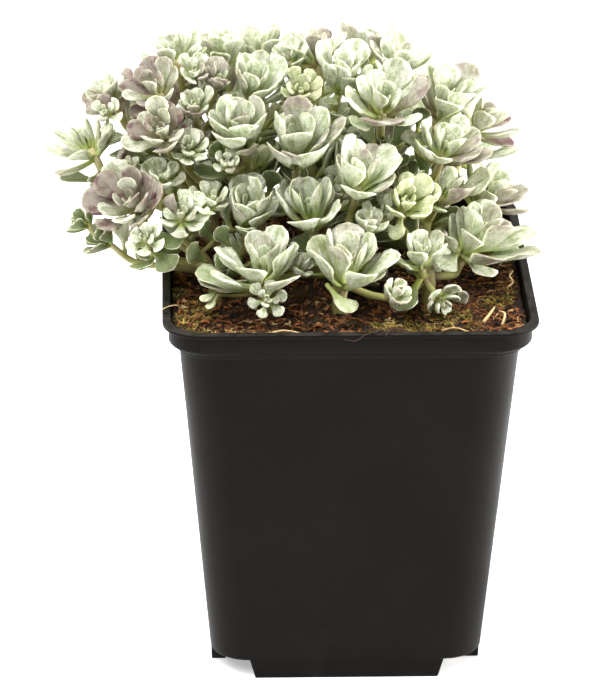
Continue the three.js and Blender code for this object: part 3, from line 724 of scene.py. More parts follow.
def bend_thread(template, start, heading, length, radius, curl, rise, sag):
    """A thread laid from a start, in a heading that turns by its curl, rising and then sagging."""
    rows = points_of(template)
    along = rows[:, 2]
    angle = heading + curl * along
    mean = heading + curl * along / 2
    middle = np.stack([
        start[0] + length * along * np.cos(mean),
        start[1] + length * along * np.sin(mean),
        start[2] + length * (rise * along - sag * along ** 2),
    ], axis=1)
    sideways = np.stack([-np.sin(angle), np.cos(angle), np.zeros_like(along)], axis=1)
    upward = np.array([0, 0, 1.0])
    return middle + radius * (rows[:, :1] * sideways + rows[:, 1:2] * upward)


def lay_thread(chance, template, shortest, longest, thickest):
    """One thread: most lie flat, a few stand proud."""
    x, y, z = soil_spot(chance, 1.2)
    length = chance.uniform(shortest, longest) * (1 if chance.random() < 0.7 else 0.6)
    rise = chance.uniform(0, 0.3) if chance.random() < 0.75 else chance.uniform(0.3, 0.8)
    heading = chance.uniform(0, 2 * math.pi)
    end = (x + length * math.cos(heading), y + length * math.sin(heading))
    if max(abs(value) for value in end) > BED_WIDTH / 2 - 0.6:
        heading = math.atan2(-y, -x) + chance.uniform(-0.9, 0.9)
    radius, curl = chance.uniform(0.4, 1) * thickest, chance.uniform(-2.2, 2.2)
    return bend_thread(template, (x, y, z + radius), heading, length, radius, curl, rise, rise * 1.1)


def lay_fibre(chance):
    """A long fine thread."""
    return lay_thread(chance, fibre, 1.8, 6, 0.26)


def lay_shred(chance):
    """A short thick thread."""
    return lay_thread(chance, shred, 0.8, 2.6, 0.44)


print("a spot for a flake:", [round(value, 1) for value in soil_spot(random.Random(FLAKE_SEED))])


# %% Strew copies
def patchy(x, y, drawn):
    """A shade between 0 and 1 that is partly drawn and partly shared with its neighbours."""
    shared = 0.5 + 0.75 * noise.noise(Vector((x, y, 5)) * 0.13)
    return min(1, max(0, 0.5 * shared + 0.8 * drawn - 0.17))


def strew(count, lay, template, seed):
    """Many copies, each with its own shade."""
    chance = random.Random(seed)
    places = [keep_inside(lay(chance)) for _ in range(count)]
    shades = [patchy(place[0, 0], place[0, 1], chance.random()) for place in places]
    marks = [np.tile([shade, 0.5, 0.5], (len(template.vertices), 1)) for shade in shades]
    return spread_copies(template, places, {"litter": marks})


def litter_finish(name, colours, rough, relief):
    """A finish whose shade changes from copy to copy, along a run of colours."""
    finish, tree, shader = new_finish(name, Roughness=rough)
    shade = attribute(tree, "litter")[0]
    ramp = add_node(tree, "ShaderNodeValToRGB", {"Fac": shade})
    ramp.color_ramp.elements[0].color = colours[0]
    ramp.color_ramp.elements[1].color = colours[-1]
    for index, colour in enumerate(colours[1:-1]):
        ramp.color_ramp.elements.new((index + 1) / (len(colours) - 1)).color = colour
    worn = use_group(tree, speckle, {
        "Light": (1, 1, 1, 1), "Dark": (0.45, 0.4, 0.36, 1),
        "Cloud Scale": 400.0, "Grain Scale": 2600.0, "Grain Share": 0.6,
    })
    colour = blend_colours(tree, 1.0, ramp.outputs["Color"], worn["Color"], "MULTIPLY")
    join(tree, shader, colour, None, worn["Height"], relief)
    return finish


# %% Strew the bark and the coir
FLAKE_COUNT, FIBRE_COUNT, SHRED_COUNT = 800, 1300, 4200
bark = litter_finish("bark", [
    (0.012, 0.006, 0.003, 1), (0.05, 0.018, 0.006, 1), (0.15, 0.055, 0.018, 1), (0.36, 0.16, 0.05, 1),
], 0.8, 0.0004)
coir = litter_finish("coir", [
    (0.025, 0.01, 0.003, 1), (0.1, 0.032, 0.007, 1), (0.3, 0.095, 0.018, 1), (0.55, 0.22, 0.05, 1),
    (0.9, 0.68, 0.34, 1),
], 0.75, 0.0001)
for name, count, lay, template, seed, finish in (
    ("bark_flakes", FLAKE_COUNT, lay_flake, flake, FLAKE_SEED, bark),
    ("coir_fibres", FIBRE_COUNT, lay_fibre, fibre, FIBRE_SEED, coir),
    ("coir_shreds", SHRED_COUNT, lay_shred, shred, SHRED_SEED, coir),
):
    piece = finish_piece(name, strew(count, lay, template, seed), finish, ["soil"])
    print(name + ":", len(piece.data.polygons), "faces")

# %% Grow the moss
# Each bed of moss is a place and a reach.
MOSS_BEDS = [
    (-38, -28, 6), (-38, -17, 6), (-31, -34, 7), (-22, -33, 5), (-5, -34, 4), (20, -20, 7), (27, -24, 6),
    (14, -28, 6), (8, -26, 5), (33, 20, 7), (-30, 33, 8), (5, 36, 7), (37, -14, 4),
]
TUFTS, BLADES = 800, 9


def moss_tuft(chance):
    """A few blades that spread from one spot."""
    x0, y0, reach = chance.choice(MOSS_BEDS)
    far, turn = reach * math.sqrt(chance.random()), chance.uniform(0, 2 * math.pi)
    limit = BED_WIDTH / 2 - 1.2
    wanted = (x0 + far * math.cos(turn), y0 + far * math.sin(turn))
    x, y = pull_in(*(max(-limit, min(limit, value)) for value in wanted), 2 * limit)
    base = (x, y, crumbs(x, y) + 0.2)
    blades = []
    for _ in range(BLADES):
        rise, heading = chance.uniform(0.5, 1.6), chance.uniform(0, 2 * math.pi)
        length, radius, curl = chance.uniform(0.6, 1.5), chance.uniform(0.14, 0.25), chance.uniform(-1, 1)
        blades.append(bend_thread(moss_blade, base, heading, length, radius, curl, rise, rise * 0.35))
    return blades


chance = random.Random(MOSS_SEED)
moss_places, moss_marks = [], []
for _ in range(TUFTS):
    tint = [chance.random(), chance.random(), chance.random()]
    for blade in moss_tuft(chance):
        moss_places.append(blade)
        moss_marks.append(np.tile(tint, (len(moss_blade.vertices), 1)))
green = litter_finish("moss_green", [
    (0.04, 0.028, 0.005, 1), (0.12, 0.09, 0.012, 1), (0.34, 0.26, 0.035, 1), (0.85, 0.66, 0.17, 1),
], 0.8, 0.0001)
moss_shape = spread_copies(moss_blade, moss_places, {"litter": moss_marks})
moss = finish_piece("moss", moss_shape, green, ["soil"])
print("moss:", len(moss.data.polygons), "faces")

# %% [markdown]
# ## How the plant grows
#
# The rosettes stand where the CAD frame has them, so the same list of shoots and the same rule for their
# leaves are repeated here. A rule is better than a copied mesh: the finer leaves that this lesson makes
# can then ask the same questions, such as where their neighbour's room begins. Each row gives a hub, the
# way it leans, its reach, its number of leaves, how open it is, and its tone.

# %% The shoots
# Each family is a rosette, followed by the offsets that grow from its side.
# Rosettes low or deep in the mound take the shade tone, which is partly painted shade.
SHOOTS = [
    {"foot": (-18, -14), "families": [
        [(-21, -22, 101, -90, 10, 15.5, 8, 0.5, "silver"),
         (-20, -30, 100, -90, 55, 4.8, 6, 0.7, "silver"),
         (-12.5, -19, 103, -30, 34, 5.5, 5, 0.4, "silver")],
        [(-24, -5, 110, -80, 26, 14, 8, 0.3, "silver")],
    ]},
    {"foot": (-2, -15), "families": [
        [(-1, -22, 101, -40, 10, 15.5, 8, 0.4, "silver"),
         (10, -29, 100, -50, 40, 5.5, 6, 0.1, "silver")],
        [(-8.5, -9, 111, -110, 20, 16, 8, 0.4, "silver"),
         (-2, 0, 115, -80, 25, 7.5, 5, 0.6, "silver")],
        [(5, -12, 111, -80, 24, 6.5, 7, 0.3, "silver"),
         (9, -4, 110, -60, 30, 7.5, 5, 0.7, "silver")],
        [(2.5, -7, 119, -60, 22, 14, 8, 0.5, "silver")],
    ]},
    {"foot": (20, -10), "families": [
        [(18, -15, 103, -90, 16, 9.5, 7, 0.1, "silver")],
        [(29, -4, 101, -10, 24, 17, 10, 0.6, "silver")],
        [(14, -7, 114, -80, 39, 10.5, 7, 0.5, "fresh")],
        [(23, 2, 113, -40, 26, 12.5, 8, 0.4, "silver")],
    ]},
    {"foot": (-32, -8), "families": [
        [(-40, -13, 114, -95, 32, 7.5, 8, 0.6, "silver"),
         (-33, -9, 116, -60, 25, 7, 5, 0.6, "silver")],
        [(-51, -9, 115, -120, 42, 12.5, 9, 0.6, "mauve")],
        [(-58, -5, 105, -170, 50, 6, 6, 0.5, "shade"),
         (-63, 0, 108, 170, 50, 5, 5, 0.5, "shade")],
        [(-39, -2, 104, -125, 40, 15, 5, 1, "shade")],
        [(-48.5, -19, 111, -110, 45, 5.5, 6, 0.6, "silver")],
    ]},
    {"foot": (-30, 6), "families": [
        [(-61.5, 6, 124, 170, 28, 11, 7, 0.6, "silver")],
        [(-57, 13, 136, 180, 25, 6, 6, 0.6, "silver"),
         (-58, 6, 134, -110, 50, 5.5, 6, 0.6, "silver")],
        [(-45, 8, 138, -130, 34, 10.5, 8, 0.7, "mauve")],
        [(-44, -2, 131, -110, 38, 11, 8, 0.6, "mauve")],
        [(-45, -4, 120, -100, 24, 7, 6, 0.5, "silver"),
         (-53, 2, 120, 180, 20, 5, 5, 0.4, "silver")],
    ]},
    {"foot": (-20, 6), "families": [
        [(-38.5, -3, 128, -90, 38, 7, 8, 0.5, "silver")],
        [(-36.5, 6, 135, -100, 34, 7, 7, 0.5, "silver")],
        [(-25, 2, 128, -110, 22, 14.5, 8, 0.3, "silver"),
         (-29, -5, 125, -90, 40, 4.2, 5, 0.5, "fresh")],
        [(-22.5, 14, 135, -75, 22, 13.5, 8, 0.5, "silver")],
        [(-31.5, 13, 139, -60, 24, 7.5, 7, 0.5, "silver")],
    ]},
    {"foot": (-6, 8), "families": [
        [(-12, 0, 124, -90, 24, 17.5, 9, 0.5, "silver")],
        [(-11, 9, 138, -90, 45, 7, 8, 0.6, "fresh")],
        [(-1, 16, 137, -60, 22, 12, 8, 0.4, "silver")],
        [(9, 7, 133, -80, 28, 13.5, 9, 0.6, "silver")],
        [(-6, 27, 140, 120, 6, 10, 7, 0.5, "silver"),
         (-13, 23, 141, -130, 25, 6, 6, 0.5, "silver")],
    ]},
    {"foot": (18, 10), "families": [
        [(23.5, 4, 123, -60, 28, 13, 9, 0.6, "silver")],
        [(23.5, 16, 130, -40, 18, 13.5, 8, 0.4, "silver")],
        [(32, 18, 125, 0, 30, 11, 8, 0.6, "mauve")],
        [(13, 24, 138, -40, 14, 10.5, 8, 0.5, "silver")],
        [(9.5, 12, 121, -90, 24, 10.5, 6, 0.7, "shade")],
    ]},
    {"foot": (-24, 26), "families": [
        [(-29, 27, 140, 110, 8, 9.5, 7, 0.4, "silver")],
        [(-20, 33, 138, 90, 12, 10, 7, 0.5, "silver")],
        [(-41, 20, 142, 170, 12, 9.5, 8, 0.5, "silver"),
         (-37, 12, 142, -80, 39, 5.5, 6, 0.5, "silver")],
        [(-46, 30, 126, 150, 35, 13, 7, 0.6, "silver")],
        [(-30, 41, 124, 110, 35, 14.5, 7, 0.6, "silver")],
        [(-42, 38, 108, 140, 45, 14.5, 7, 0.6, "shade")],
        [(-20, 46, 108, 90, 45, 14.5, 7, 0.6, "silver")],
    ]},
    {"foot": (14, 28), "families": [
        [(6, 32, 138, 70, 12, 11, 7, 0.4, "silver")],
        [(-8, 42, 124, 100, 35, 14.5, 7, 0.6, "silver")],
        [(14, 40, 122, 80, 35, 14.5, 7, 0.6, "silver")],
        [(30, 33, 112, 60, 35, 14.5, 7, 0.6, "silver")],
        [(6, 46, 107, 90, 45, 14.5, 7, 0.6, "shade")],
        [(34, 13, 107, 0, 32, 12, 8, 0.6, "silver")],
    ]},
]
ALL_STEMS = [f"stem_{order + 1}" for order in range(len(SHOOTS))]
rosette_count = sum(len(rows) for shoot in SHOOTS for rows in shoot["families"])
print("shoots:", len(SHOOTS), "rosettes and offsets:", rosette_count)

# %% [markdown]
# ### Reading a row
#
# A row becomes a small record with the rosette's own directions: its axis, and two directions across it.
# The first random number of each rosette turns it about its axis, so that no two look the same.

# %% Rosettes as records
OUTER_LIFT_CLOSED = 52
OUTER_LIFT_OPEN = 4
INNER_LIFT = 65
STEEPEST = 86
LIFT_SWING = 5
SWING = 3
INNER_REACH = 0.66
OUTER_SHARE = 0.6
SMALL_REACH = 8
CORE_SHARE = 0.17
LEAF_WIDTH = 0.7
LEAF_THICKNESS = 1.5
LEAF_CUP = 0.4
LEAF_BEND = 0.16
ROOT_SHARE = 0.6
WEDGE_FILL, WIDEST_WEDGE = 0.93, math.radians(60)
OUTER_STATIONS = [(0.32, 0.2, 0.9), (0.66, 0.46, 1.0), (0.9, 0.4, 0.75)]
INNER_STATIONS = [(0.5, 0.38, 1.0), (0.86, 0.44, 0.8)]


def mix(low, high, share):
    """A value between two others."""
    return low + (high - low) * share


class Draw:
    """The frame's own run of random numbers, so that the leaves turn as its leaves do."""

    def __init__(self, seed):
        self.state = seed * 7919 + 17

    def next(self):
        self.state = self.state * 16807 % 2147483647
        return self.state / 2147483647


class Rosette:
    """One rosette or offset, with its own directions."""

    def __init__(self, row, seed, family):
        x, y, z, towards, lean, self.reach, self.count, self.opening, self.tone = row
        turn, tilt = math.radians(towards), math.radians(lean)
        outwards, up = Vector((math.cos(turn), math.sin(turn), 0)), Vector((0, 0, 1))
        self.hub = Vector((x, y, z))
        self.axis = up * math.cos(tilt) + outwards * math.sin(tilt)
        self.across = outwards * math.cos(tilt) - up * math.sin(tilt)
        self.along = up.cross(outwards)
        self.middle = self.hub + self.axis * (0.4 * self.reach)
        self.draw = Draw(seed)
        self.spin = self.draw.next() * 2 * math.pi
        self.family = family
        self.small = self.reach < SMALL_REACH
        self.half = max(0.6 * CORE_SHARE * self.reach, 0.95)


families = []
for shoot_index, shoot in enumerate(SHOOTS):
    for rows in shoot["families"]:
        start = sum(len(family["members"]) for family in families) + 1
        members = [Rosette(row, start + place, len(families)) for place, row in enumerate(rows)]
        name = f"rosette_{len(families) + 1:02d}"
        families.append({"shoot": shoot_index, "members": members, "name": name})
everyone = [member for family in families for member in family["members"]]


def families_on(shoot_index):
    """The places in the list of the families that one stem carries."""
    return [place for place, family in enumerate(families) if family["shoot"] == shoot_index]


print("families:", len(families), "members:", len(everyone))

# %% [markdown]
# ### Stems that reach their rosettes
#
# Each stem rises out of its trunk, bends at a knee, and meets its rosette from below, along the
# rosette's own axis. A smooth curve through those four points is a Catmull-Rom curve, which passes
# through all of them and needs no handles.

# %% The line of each stem
TRUNK_TOP = 100.0
STEM_GAP = 0.3
LINE_STEPS = 8


def smooth_curve(points, share):
    """A point on a centripetal Catmull-Rom curve through some points."""
    place = (len(points) - 1) * share
    first = min(int(place), len(points) - 2)
    weight = place - first
    two, three = points[first], points[first + 1]
    one = points[first - 1] if first > 0 else two * 2 - three
    four = points[first + 2] if first + 2 < len(points) else three * 2 - two
    gaps = [math.sqrt((b - a).length) for a, b in ((one, two), (two, three), (three, four))]
    leave = (two - one) / gaps[0] - (three - one) / (gaps[0] + gaps[1]) + (three - two) / gaps[1]
    arrive = (three - two) / gaps[1] - (four - two) / (gaps[1] + gaps[2]) + (four - three) / gaps[2]
    leave, arrive = leave * gaps[1], arrive * gaps[1]
    bend = two * -3 + three * 3 - leave * 2 - arrive
    twist = two * 2 - three * 2 + leave + arrive
    return two + leave * weight + bend * weight ** 2 + twist * weight ** 3


def stem_knots(foot, rosette):
    """The four points that a stem passes through."""
    end = rosette.hub - rosette.axis * (rosette.half + STEM_GAP)
    start = Vector((foot[0], foot[1], TRUNK_TOP - 2))
    below = end - rosette.axis * min(7, 0.35 * (end - start).length)
    knee = start.lerp(below, 0.42)
    knee.z = mix(start.z, below.z, 0.55)
    return [start, knee, below, end]


def along_curve(knots, steps):
    """Points at even steps along a smooth curve."""
    return [smooth_curve(knots, step / steps) for step in range(steps + 1)]


for family in families:
    family["knots"] = stem_knots(SHOOTS[family["shoot"]]["foot"], family["members"][0])
lines = [[Vector((*shoot["foot"], SOIL_TOP)), Vector((*shoot["foot"], TRUNK_TOP + 1))] for shoot in SHOOTS]
owners = [-1] * len(lines)
for index, family in enumerate(families):
    path = along_curve(family["knots"], LINE_STEPS)
    for a, b in zip(path, path[1:]):
        lines.append([a, b])
        owners.append(index)
line_starts = np.array([line[0] for line in lines])
line_steps = np.array([line[1] - line[0] for line in lines])
line_owners = np.array(owners)
print("stem lines:", len(lines))

# %% [markdown]
# ### Where a leaf has room
#
# Leaves of neighbours never pass through each other on the real plant: they push each other aside. Flat
# walls between two rosettes, nearer to the smaller one, give each its own room. A leaf that would cross
# a wall, a stem or the pot's rim is bent up, and if that isn't enough it is made shorter.

# %% Ask for room
NEIGHBOURHOOD, WALL_PLAY = 1.25, 0.25
RIM_PLAY, LIP_ROOM, BED_LEVEL = 1.6, 0.8, 92.2
STEM_ROOM = 1.9


def room_walls(rosette):
    """The walls between a rosette and the neighbours of other families, as rows of normal and offset."""
    walls = []
    for other in everyone:
        gap = (other.middle - rosette.middle).length
        if other.family == rosette.family or gap > NEIGHBOURHOOD * (rosette.reach + other.reach):
            continue
        normal = (other.middle - rosette.middle).normalized()
        point = rosette.middle + normal * (gap * rosette.reach / (rosette.reach + other.reach) - WALL_PLAY)
        walls.append((*normal, -normal.dot(point)))
    return np.array(walls).reshape(-1, 4)


def has_room(points, walls, family, margin=STEM_ROOM):
    """Whether points keep clear of the walls, the ground and other stems."""
    if len(walls) and (points @ walls[:, :3].T + walls[:, 3]).max() > 0:
        return False
    far = np.abs(points[:, :2]).max(axis=1)
    inside = np.where(far > BODY_TOP_WIDTH / 2 - RIM_PLAY, POT_HEIGHT + LIP_ROOM, BED_LEVEL)
    ground = np.where(far > LIP_WIDTH / 2 + RIM_PLAY, 0.0, inside)
    if (points[:, 2] < ground).any():
        return False
    others = line_owners != family
    starts, steps = line_starts[others], line_steps[others]
    offsets = points[:, None] - starts[None]
    share = np.clip((offsets * steps).sum(2) / (steps ** 2).sum(1), 0, 1)
    return bool(np.linalg.norm(offsets - share[..., None] * steps, axis=2).min() >= margin)


print("walls round the first rosette:", len(room_walls(everyone[0])))


# %% A leaf as it grows
class Leaf:
    """A leaf on its rosette: where it is rooted, which way it points, and how large it is."""

    def __init__(self, rosette, whorl, turn, lift, length):
        lift = math.radians(min(lift, STEEPEST))
        outward = rosette.across * math.cos(turn) + rosette.along * math.sin(turn)
        self.length, self.width = length, length * whorl.get("width", LEAF_WIDTH)
        self.radius, self.spread = ROOT_SHARE * whorl["radius"], math.cos(lift)
        self.wedge = WEDGE_FILL * math.tan(min(math.pi / whorl["count"] - math.radians(SWING), WIDEST_WEDGE))
        self.root = rosette.hub + outward * (ROOT_SHARE * whorl["radius"]) + rosette.axis * whorl["level"]
        self.forward = outward * math.cos(lift) + rosette.axis * math.sin(lift)
        self.upward = rosette.axis * math.cos(lift) - outward * math.sin(lift)
        self.side = rosette.along * math.cos(turn) - rosette.across * math.sin(turn)
        self.stations = whorl["stations"]

    def point(self, along, side, rise):
        """A point of the leaf, from shares of its length and half width and a rise in millimetres."""
        half = side * self.width
        bend = LEAF_BEND * along * along * self.length if along > 0 else 0
        rise = bend + LEAF_CUP * abs(half) + rise
        return self.root + self.forward * (along * self.length) + self.side * half + self.upward * rise

    def outline(self):
        """The corners that the CAD frame tests, with the points halfway between them."""
        rings = []
        for along, half, thick in self.stations:
            room = (self.radius + along * self.length * self.spread) * self.wedge
            side = min(half, room / self.width)
            rings.append([
                self.point(along, side, 0), self.point(along, 0, 0.4 * thick * LEAF_THICKNESS),
                self.point(along, -side, 0), self.point(along, 0, -0.6 * thick * LEAF_THICKNESS),
            ])
        between = [a.lerp(b, 0.5) for ring, after in zip(rings, rings[1:]) for a, b in zip(ring, after)]
        return np.array([self.point(1, 0, 0), *sum(rings, []), *between])


# %% Let it find room
SHRINKS = (1, 0.92, 0.84, 0.76, 0.68, 0.6)
BENDS = (0, 8, 16)


def grow_leaf(rosette, whorl, turn, lift, length, walls, shrinks=SHRINKS, margin=STEM_ROOM):
    """The first leaf that has room: as wanted, else bent up, else shorter."""
    for shrink in shrinks:
        for bend in BENDS:
            leaf = Leaf(rosette, whorl, turn, lift + bend, length * shrink)
            if has_room(leaf.outline(), walls, rosette.family, margin):
                return leaf
    return None


def frame_whorl(rosette, inner):
    """The outer or inner ring of leaves, as the CAD frame has it."""
    outer = rosette.count if rosette.small else math.ceil(OUTER_SHARE * rosette.count)
    return {
        "count": rosette.count - outer if inner else outer,
        "radius": rosette.reach * CORE_SHARE * (0.5 if inner else 1),
        "level": 1.6 * rosette.half if inner else 0,
        "start": rosette.spin + (math.pi / outer if inner else 0),
        "stations": INNER_STATIONS if inner or rosette.small else OUTER_STATIONS,
    }


def frame_leaves(rosette, inner, walls):
    """The leaves of a ring of the frame, in its own order of random draws."""
    whorl = frame_whorl(rosette, inner)
    rise = INNER_LIFT if inner else mix(OUTER_LIFT_CLOSED, OUTER_LIFT_OPEN, rosette.opening)
    leaves = []
    for k in range(whorl["count"]):
        swing = math.radians((2 * rosette.draw.next() - 1) * SWING)
        turn = whorl["start"] + k * 2 * math.pi / whorl["count"] + swing
        lift = rise + (2 * rosette.draw.next() - 1) * LIFT_SWING
        length = rosette.reach * (INNER_REACH if inner else 1) * mix(0.92, 1.08, rosette.draw.next())
        leaves.append(grow_leaf(rosette, whorl, turn, lift, length, walls))
    return [leaf for leaf in leaves if leaf]


print("the first rosette's outer ring:", frame_whorl(everyone[0], False)["count"], "leaves")

# %% [markdown]
# ## One leaf
#
# The leaf of this stonecrop is a small thick spoon: a narrow flat stalk that widens to a broad blunt
# end with a tiny point, hollow on top and rounded below. Modelled by hand it is one ring of eight points
# drawn out through seven more and gathered at the tip. It is kept as shares of length and half width, and
# each copy is bent into its own shape from those: about sixty faces are enough, because smooth shading
# rounds them.

# %% Model the leaf
LEAF_ALONG = [-0.1, 0.1, 0.27, 0.43, 0.58, 0.72, 0.85, 0.95]
LEAF_SIDES = 8
leaf_angles = [2 * math.pi * i / LEAF_SIDES for i in range(LEAF_SIDES)]
leaf_rings = [[Vector((math.cos(a), along, math.sin(a))) for a in leaf_angles] for along in LEAF_ALONG]
leaf_shape = bmesh.new()
first = ring = start_ring(leaf_shape, leaf_rings[0])
for outline in leaf_rings[1:]:
    ring = grow_ring(leaf_shape, ring, outline)
close_ring(leaf_shape, first)
tip = grow_ring(leaf_shape, ring, [Vector((0, 1, 0))] * LEAF_SIDES)
bmesh.ops.remove_doubles(leaf_shape, verts=tip, dist=0.0001)
bmesh.ops.recalc_face_normals(leaf_shape, faces=leaf_shape.faces)
leaf_template = to_mesh(leaf_shape, "leaf")
across, along, above = points_of(leaf_template).T
print("leaf:", len(leaf_template.polygons), "faces")

# %% [markdown]
# ### Blushing leaves
#
# Sun and cold turn the older leaves of some rosettes mauve, most of them on the plant's left. A random
# choice would spread the colour evenly, so the places that blush are listed, and a leaf asks how near it
# grows to one. Elsewhere the leaves of a mauve rosette blush as chance has it, and other leaves less.

# %% Say where leaves blush
# Places that blush, as seen from the front: x, the height where the line of sight crosses the middle of
# the pot, and how far it spreads.
BLUSHING = [
    (-49.2, 146.4, 5), (-62.5, 140.9, 4), (-48.5, 135, 5), (-40.1, 136.6, 3), (-34, 134, 4),
    (-59.6, 120.9, 5.5), (-49.5, 116.4, 4), (-45.3, 113.5, 3), (-60.7, 112.8, 3), (-53.2, 103, 5),
    (-32.3, 148.4, 4), (-6.6, 158.4, 3), (-8.9, 142.1, 3), (41, 111.9, 5), (30.2, 125.5, 3),
    (18.8, 143, 3), (10.2, 130.1, 5), (25.6, 112.5, 3),
]
SIGHT_SLOPE = 0.44
OLD_ENOUGH = 0.35
STAYS_PALE = 0.15


def blush_of(leaf, tone, chance):
    """How much a leaf blushes: mostly much near a listed place, by chance in a mauve rosette, else less."""
    blade = leaf.point(0.65, 0, 0)
    seen = blade.z + SIGHT_SLOPE * blade.y
    near = max(spread - math.hypot(blade.x - x, seen - height) for x, height, spread in BLUSHING)
    drawn = chance.random()
    if near > 0 and leaf.age >= OLD_ENOUGH:
        return mix(0.7, 1, drawn) if drawn > STAYS_PALE else drawn
    return drawn if tone == "mauve" else 0.7 * drawn ** 2


print("places that blush:", len(BLUSHING))

# %% [markdown]
# ### A leaf of its own
#
# No two leaves are alike: each has its own width, cup, curl, twist and waviness. The template's vertices
# know how far along, across and above they are, so a few sums over all of them at once bend a copy. What
# the finish has to know about a leaf, such as its age, goes along in two colours on every vertex.

# %% Bend a copy of the leaf into its place
OUTLINE = ([*LEAF_ALONG, 1], [0.1, 0.1, 0.13, 0.235, 0.375, 0.465, 0.43, 0.26, 0])
THICKNESS = ([-0.1, 0.3, 0.7, 0.9, 1], [0.8, 0.95, 0.95, 0.65, 0.1])


def leaf_points(leaf, chance):
    """The leaf's vertices, with small differences in cup, curl, twist and edge from leaf to leaf."""
    half = np.interp(along, *OUTLINE) * leaf.width * chance.uniform(*leaf.plump)
    room = (leaf.radius + np.maximum(along, 0.1) * leaf.length * leaf.spread) * leaf.wedge
    half = np.minimum(half, np.maximum(room, 0.1 * leaf.width))
    widest = max(half.max(), 0.1)
    cup, curl, twist = chance.uniform(0.45, 0.95), chance.uniform(-0.06, 0.06), chance.uniform(-0.2, 0.2)
    lean = chance.uniform(-0.03, 0.03) * leaf.length
    ripples = np.sin(along * chance.uniform(7, 11) + chance.uniform(0, 6))
    wave = 0.035 * leaf.width * ripples * np.abs(across) ** 2
    thick = np.interp(along, *THICKNESS) * LEAF_THICKNESS * leaf.thick
    blade = np.maximum(along, 0)
    side = across * half + lean * blade ** 2
    rise = (LEAF_BEND + curl) * blade ** 2 * leaf.length
    rise += LEAF_CUP * cup * half * half / widest * np.abs(across) ** 1.3
    groove = 0.3 * thick * np.clip(above - 0.75, 0, 1) * 4 * np.clip(along, 0, 1)
    rise += thick * (above * 0.5 - 0.1) - groove + wave + twist * side * blade
    ahead = along * leaf.length
    forwards, sideways, upwards = np.array(leaf.forward), np.array(leaf.side), np.array(leaf.upward)
    return np.array(leaf.root) + ahead[:, None] * forwards + side[:, None] * sideways + rise[:, None] * upwards


def leaf_marks(leaf, tone, chance):
    """What the finish reads: how far along, how far across, and a random value; then how far
    underneath, how old the leaf is, and how much it blushes."""
    everywhere = np.ones_like(along)
    one = np.stack([np.maximum(along, 0), across * 0.5 + 0.5, everywhere * chance.random()], axis=1)
    under = (above < -0.3).astype(float)
    two = np.stack([under, everywhere * leaf.age, everywhere * blush_of(leaf, tone, chance)], axis=1)
    return one, two


print("a leaf is widest", round(LEAF_ALONG[int(np.argmax(OUTLINE[1]))], 2), "of the way along")

# %% [markdown]
# ## The silver bloom on the leaves
#
# The flesh of the leaf is green, and a fine wax bloom makes it silver. The bloom is thinnest at the
# leaf's base, on its underside, along its middle, and where it has been rubbed; it thins on the youngest
# and the oldest leaves too. The leaf's edge stays a thin pale yellow. Mauve creeps in from the end, and
# covers the whole blade of a leaf that blushes strongly. Painting each leaf would never end, so one shared
# group reads what the vertices carry and lays flesh, bloom, edge and blush over each other. Four finishes
# use it.

# %% The bloom group's sockets and marks
bloom, given, result = new_group("leaf_bloom", [
    ("Flesh", "NodeSocketColor", (0.2, 0.3, 0.08, 1)),
    ("Heart", "NodeSocketColor", (0.4, 0.5, 0.15, 1)),
    ("Bloom", "NodeSocketColor", (0.5, 0.6, 0.45, 1)),
    ("Bloom Share", "NodeSocketFloat", 0.85),
    ("Blush", "NodeSocketColor", (0.3, 0.12, 0.14, 1)),
    ("Blush Share", "NodeSocketFloat", 0.3),
], [("Color", "NodeSocketColor"), ("Roughness", "NodeSocketFloat"), ("Height", "NodeSocketFloat")])
given = given.outputs
along_leaf, across_leaf, leaf_chance = attribute(bloom, "leaf")
underside, age, blush_chance = attribute(bloom, "growth")

from_middle = add_node(bloom, "ShaderNodeMath", {
    0: add_node(bloom, "ShaderNodeMath", {0: across_leaf, 1: 0.5}, operation="SUBTRACT").outputs["Value"],
}, operation="ABSOLUTE").outputs["Value"]
at_side, at_tip = fade(bloom, from_middle, 0.44, 0.48), fade(bloom, along_leaf, 0.95, 1.0)
edge_of_leaf = calculate(bloom, "MAXIMUM", at_side, at_tip)
blade = add_node(bloom, "ShaderNodeCombineXYZ", {
    "X": add_node(bloom, "ShaderNodeMath", {0: across_leaf, 1: 4.5}, operation="MULTIPLY").outputs["Value"],
    "Y": along_leaf,
    "Z": add_node(bloom, "ShaderNodeMath", {0: leaf_chance, 1: 40.0}, operation="MULTIPLY").outputs["Value"],
}).outputs["Vector"]

# %% Flesh and bloom
streaks = add_node(bloom, "ShaderNodeTexNoise", {
    "Vector": blade, "Scale": 1.6, "Detail": 4.0, "Roughness": 0.6,
}).outputs["Fac"]
rubbed = add_node(bloom, "ShaderNodeMix", {
    "Factor": 0.5, "A": grains(bloom, 420, 4, 0.6), "B": streaks,
}, data_type="FLOAT").outputs["Result"]
patches = fade(bloom, rubbed, 0.38, 0.56, 0.25, 1.0)
towards_tip = fade(bloom, along_leaf, 0.08, 0.7, 0.12, 1.0)
wax = calculate(bloom, "MULTIPLY", calculate(bloom, "MULTIPLY", patches, towards_tip), given["Bloom Share"])
wax = calculate(bloom, "MULTIPLY", wax, fade(bloom, underside, 0, 1, 1.0, 0.85))
wax = calculate(bloom, "MULTIPLY", wax, fade(bloom, from_middle, 0.05, 0.4, 0.8, 1.0))
wax = calculate(bloom, "MULTIPLY", wax, fade(bloom, age, 0.6, 1.0, 1.0, 0.45))
wax = calculate(bloom, "MULTIPLY", wax, fade(bloom, age, 0.0, 0.35, 0.72, 1.0))
flesh = blend_colours(bloom, fade(bloom, along_leaf, 0.05, 0.5), given["Heart"], given["Flesh"])
colour = blend_colours(bloom, wax, flesh, given["Bloom"])
print("flesh and bloom:", len(bloom.nodes), "nodes")

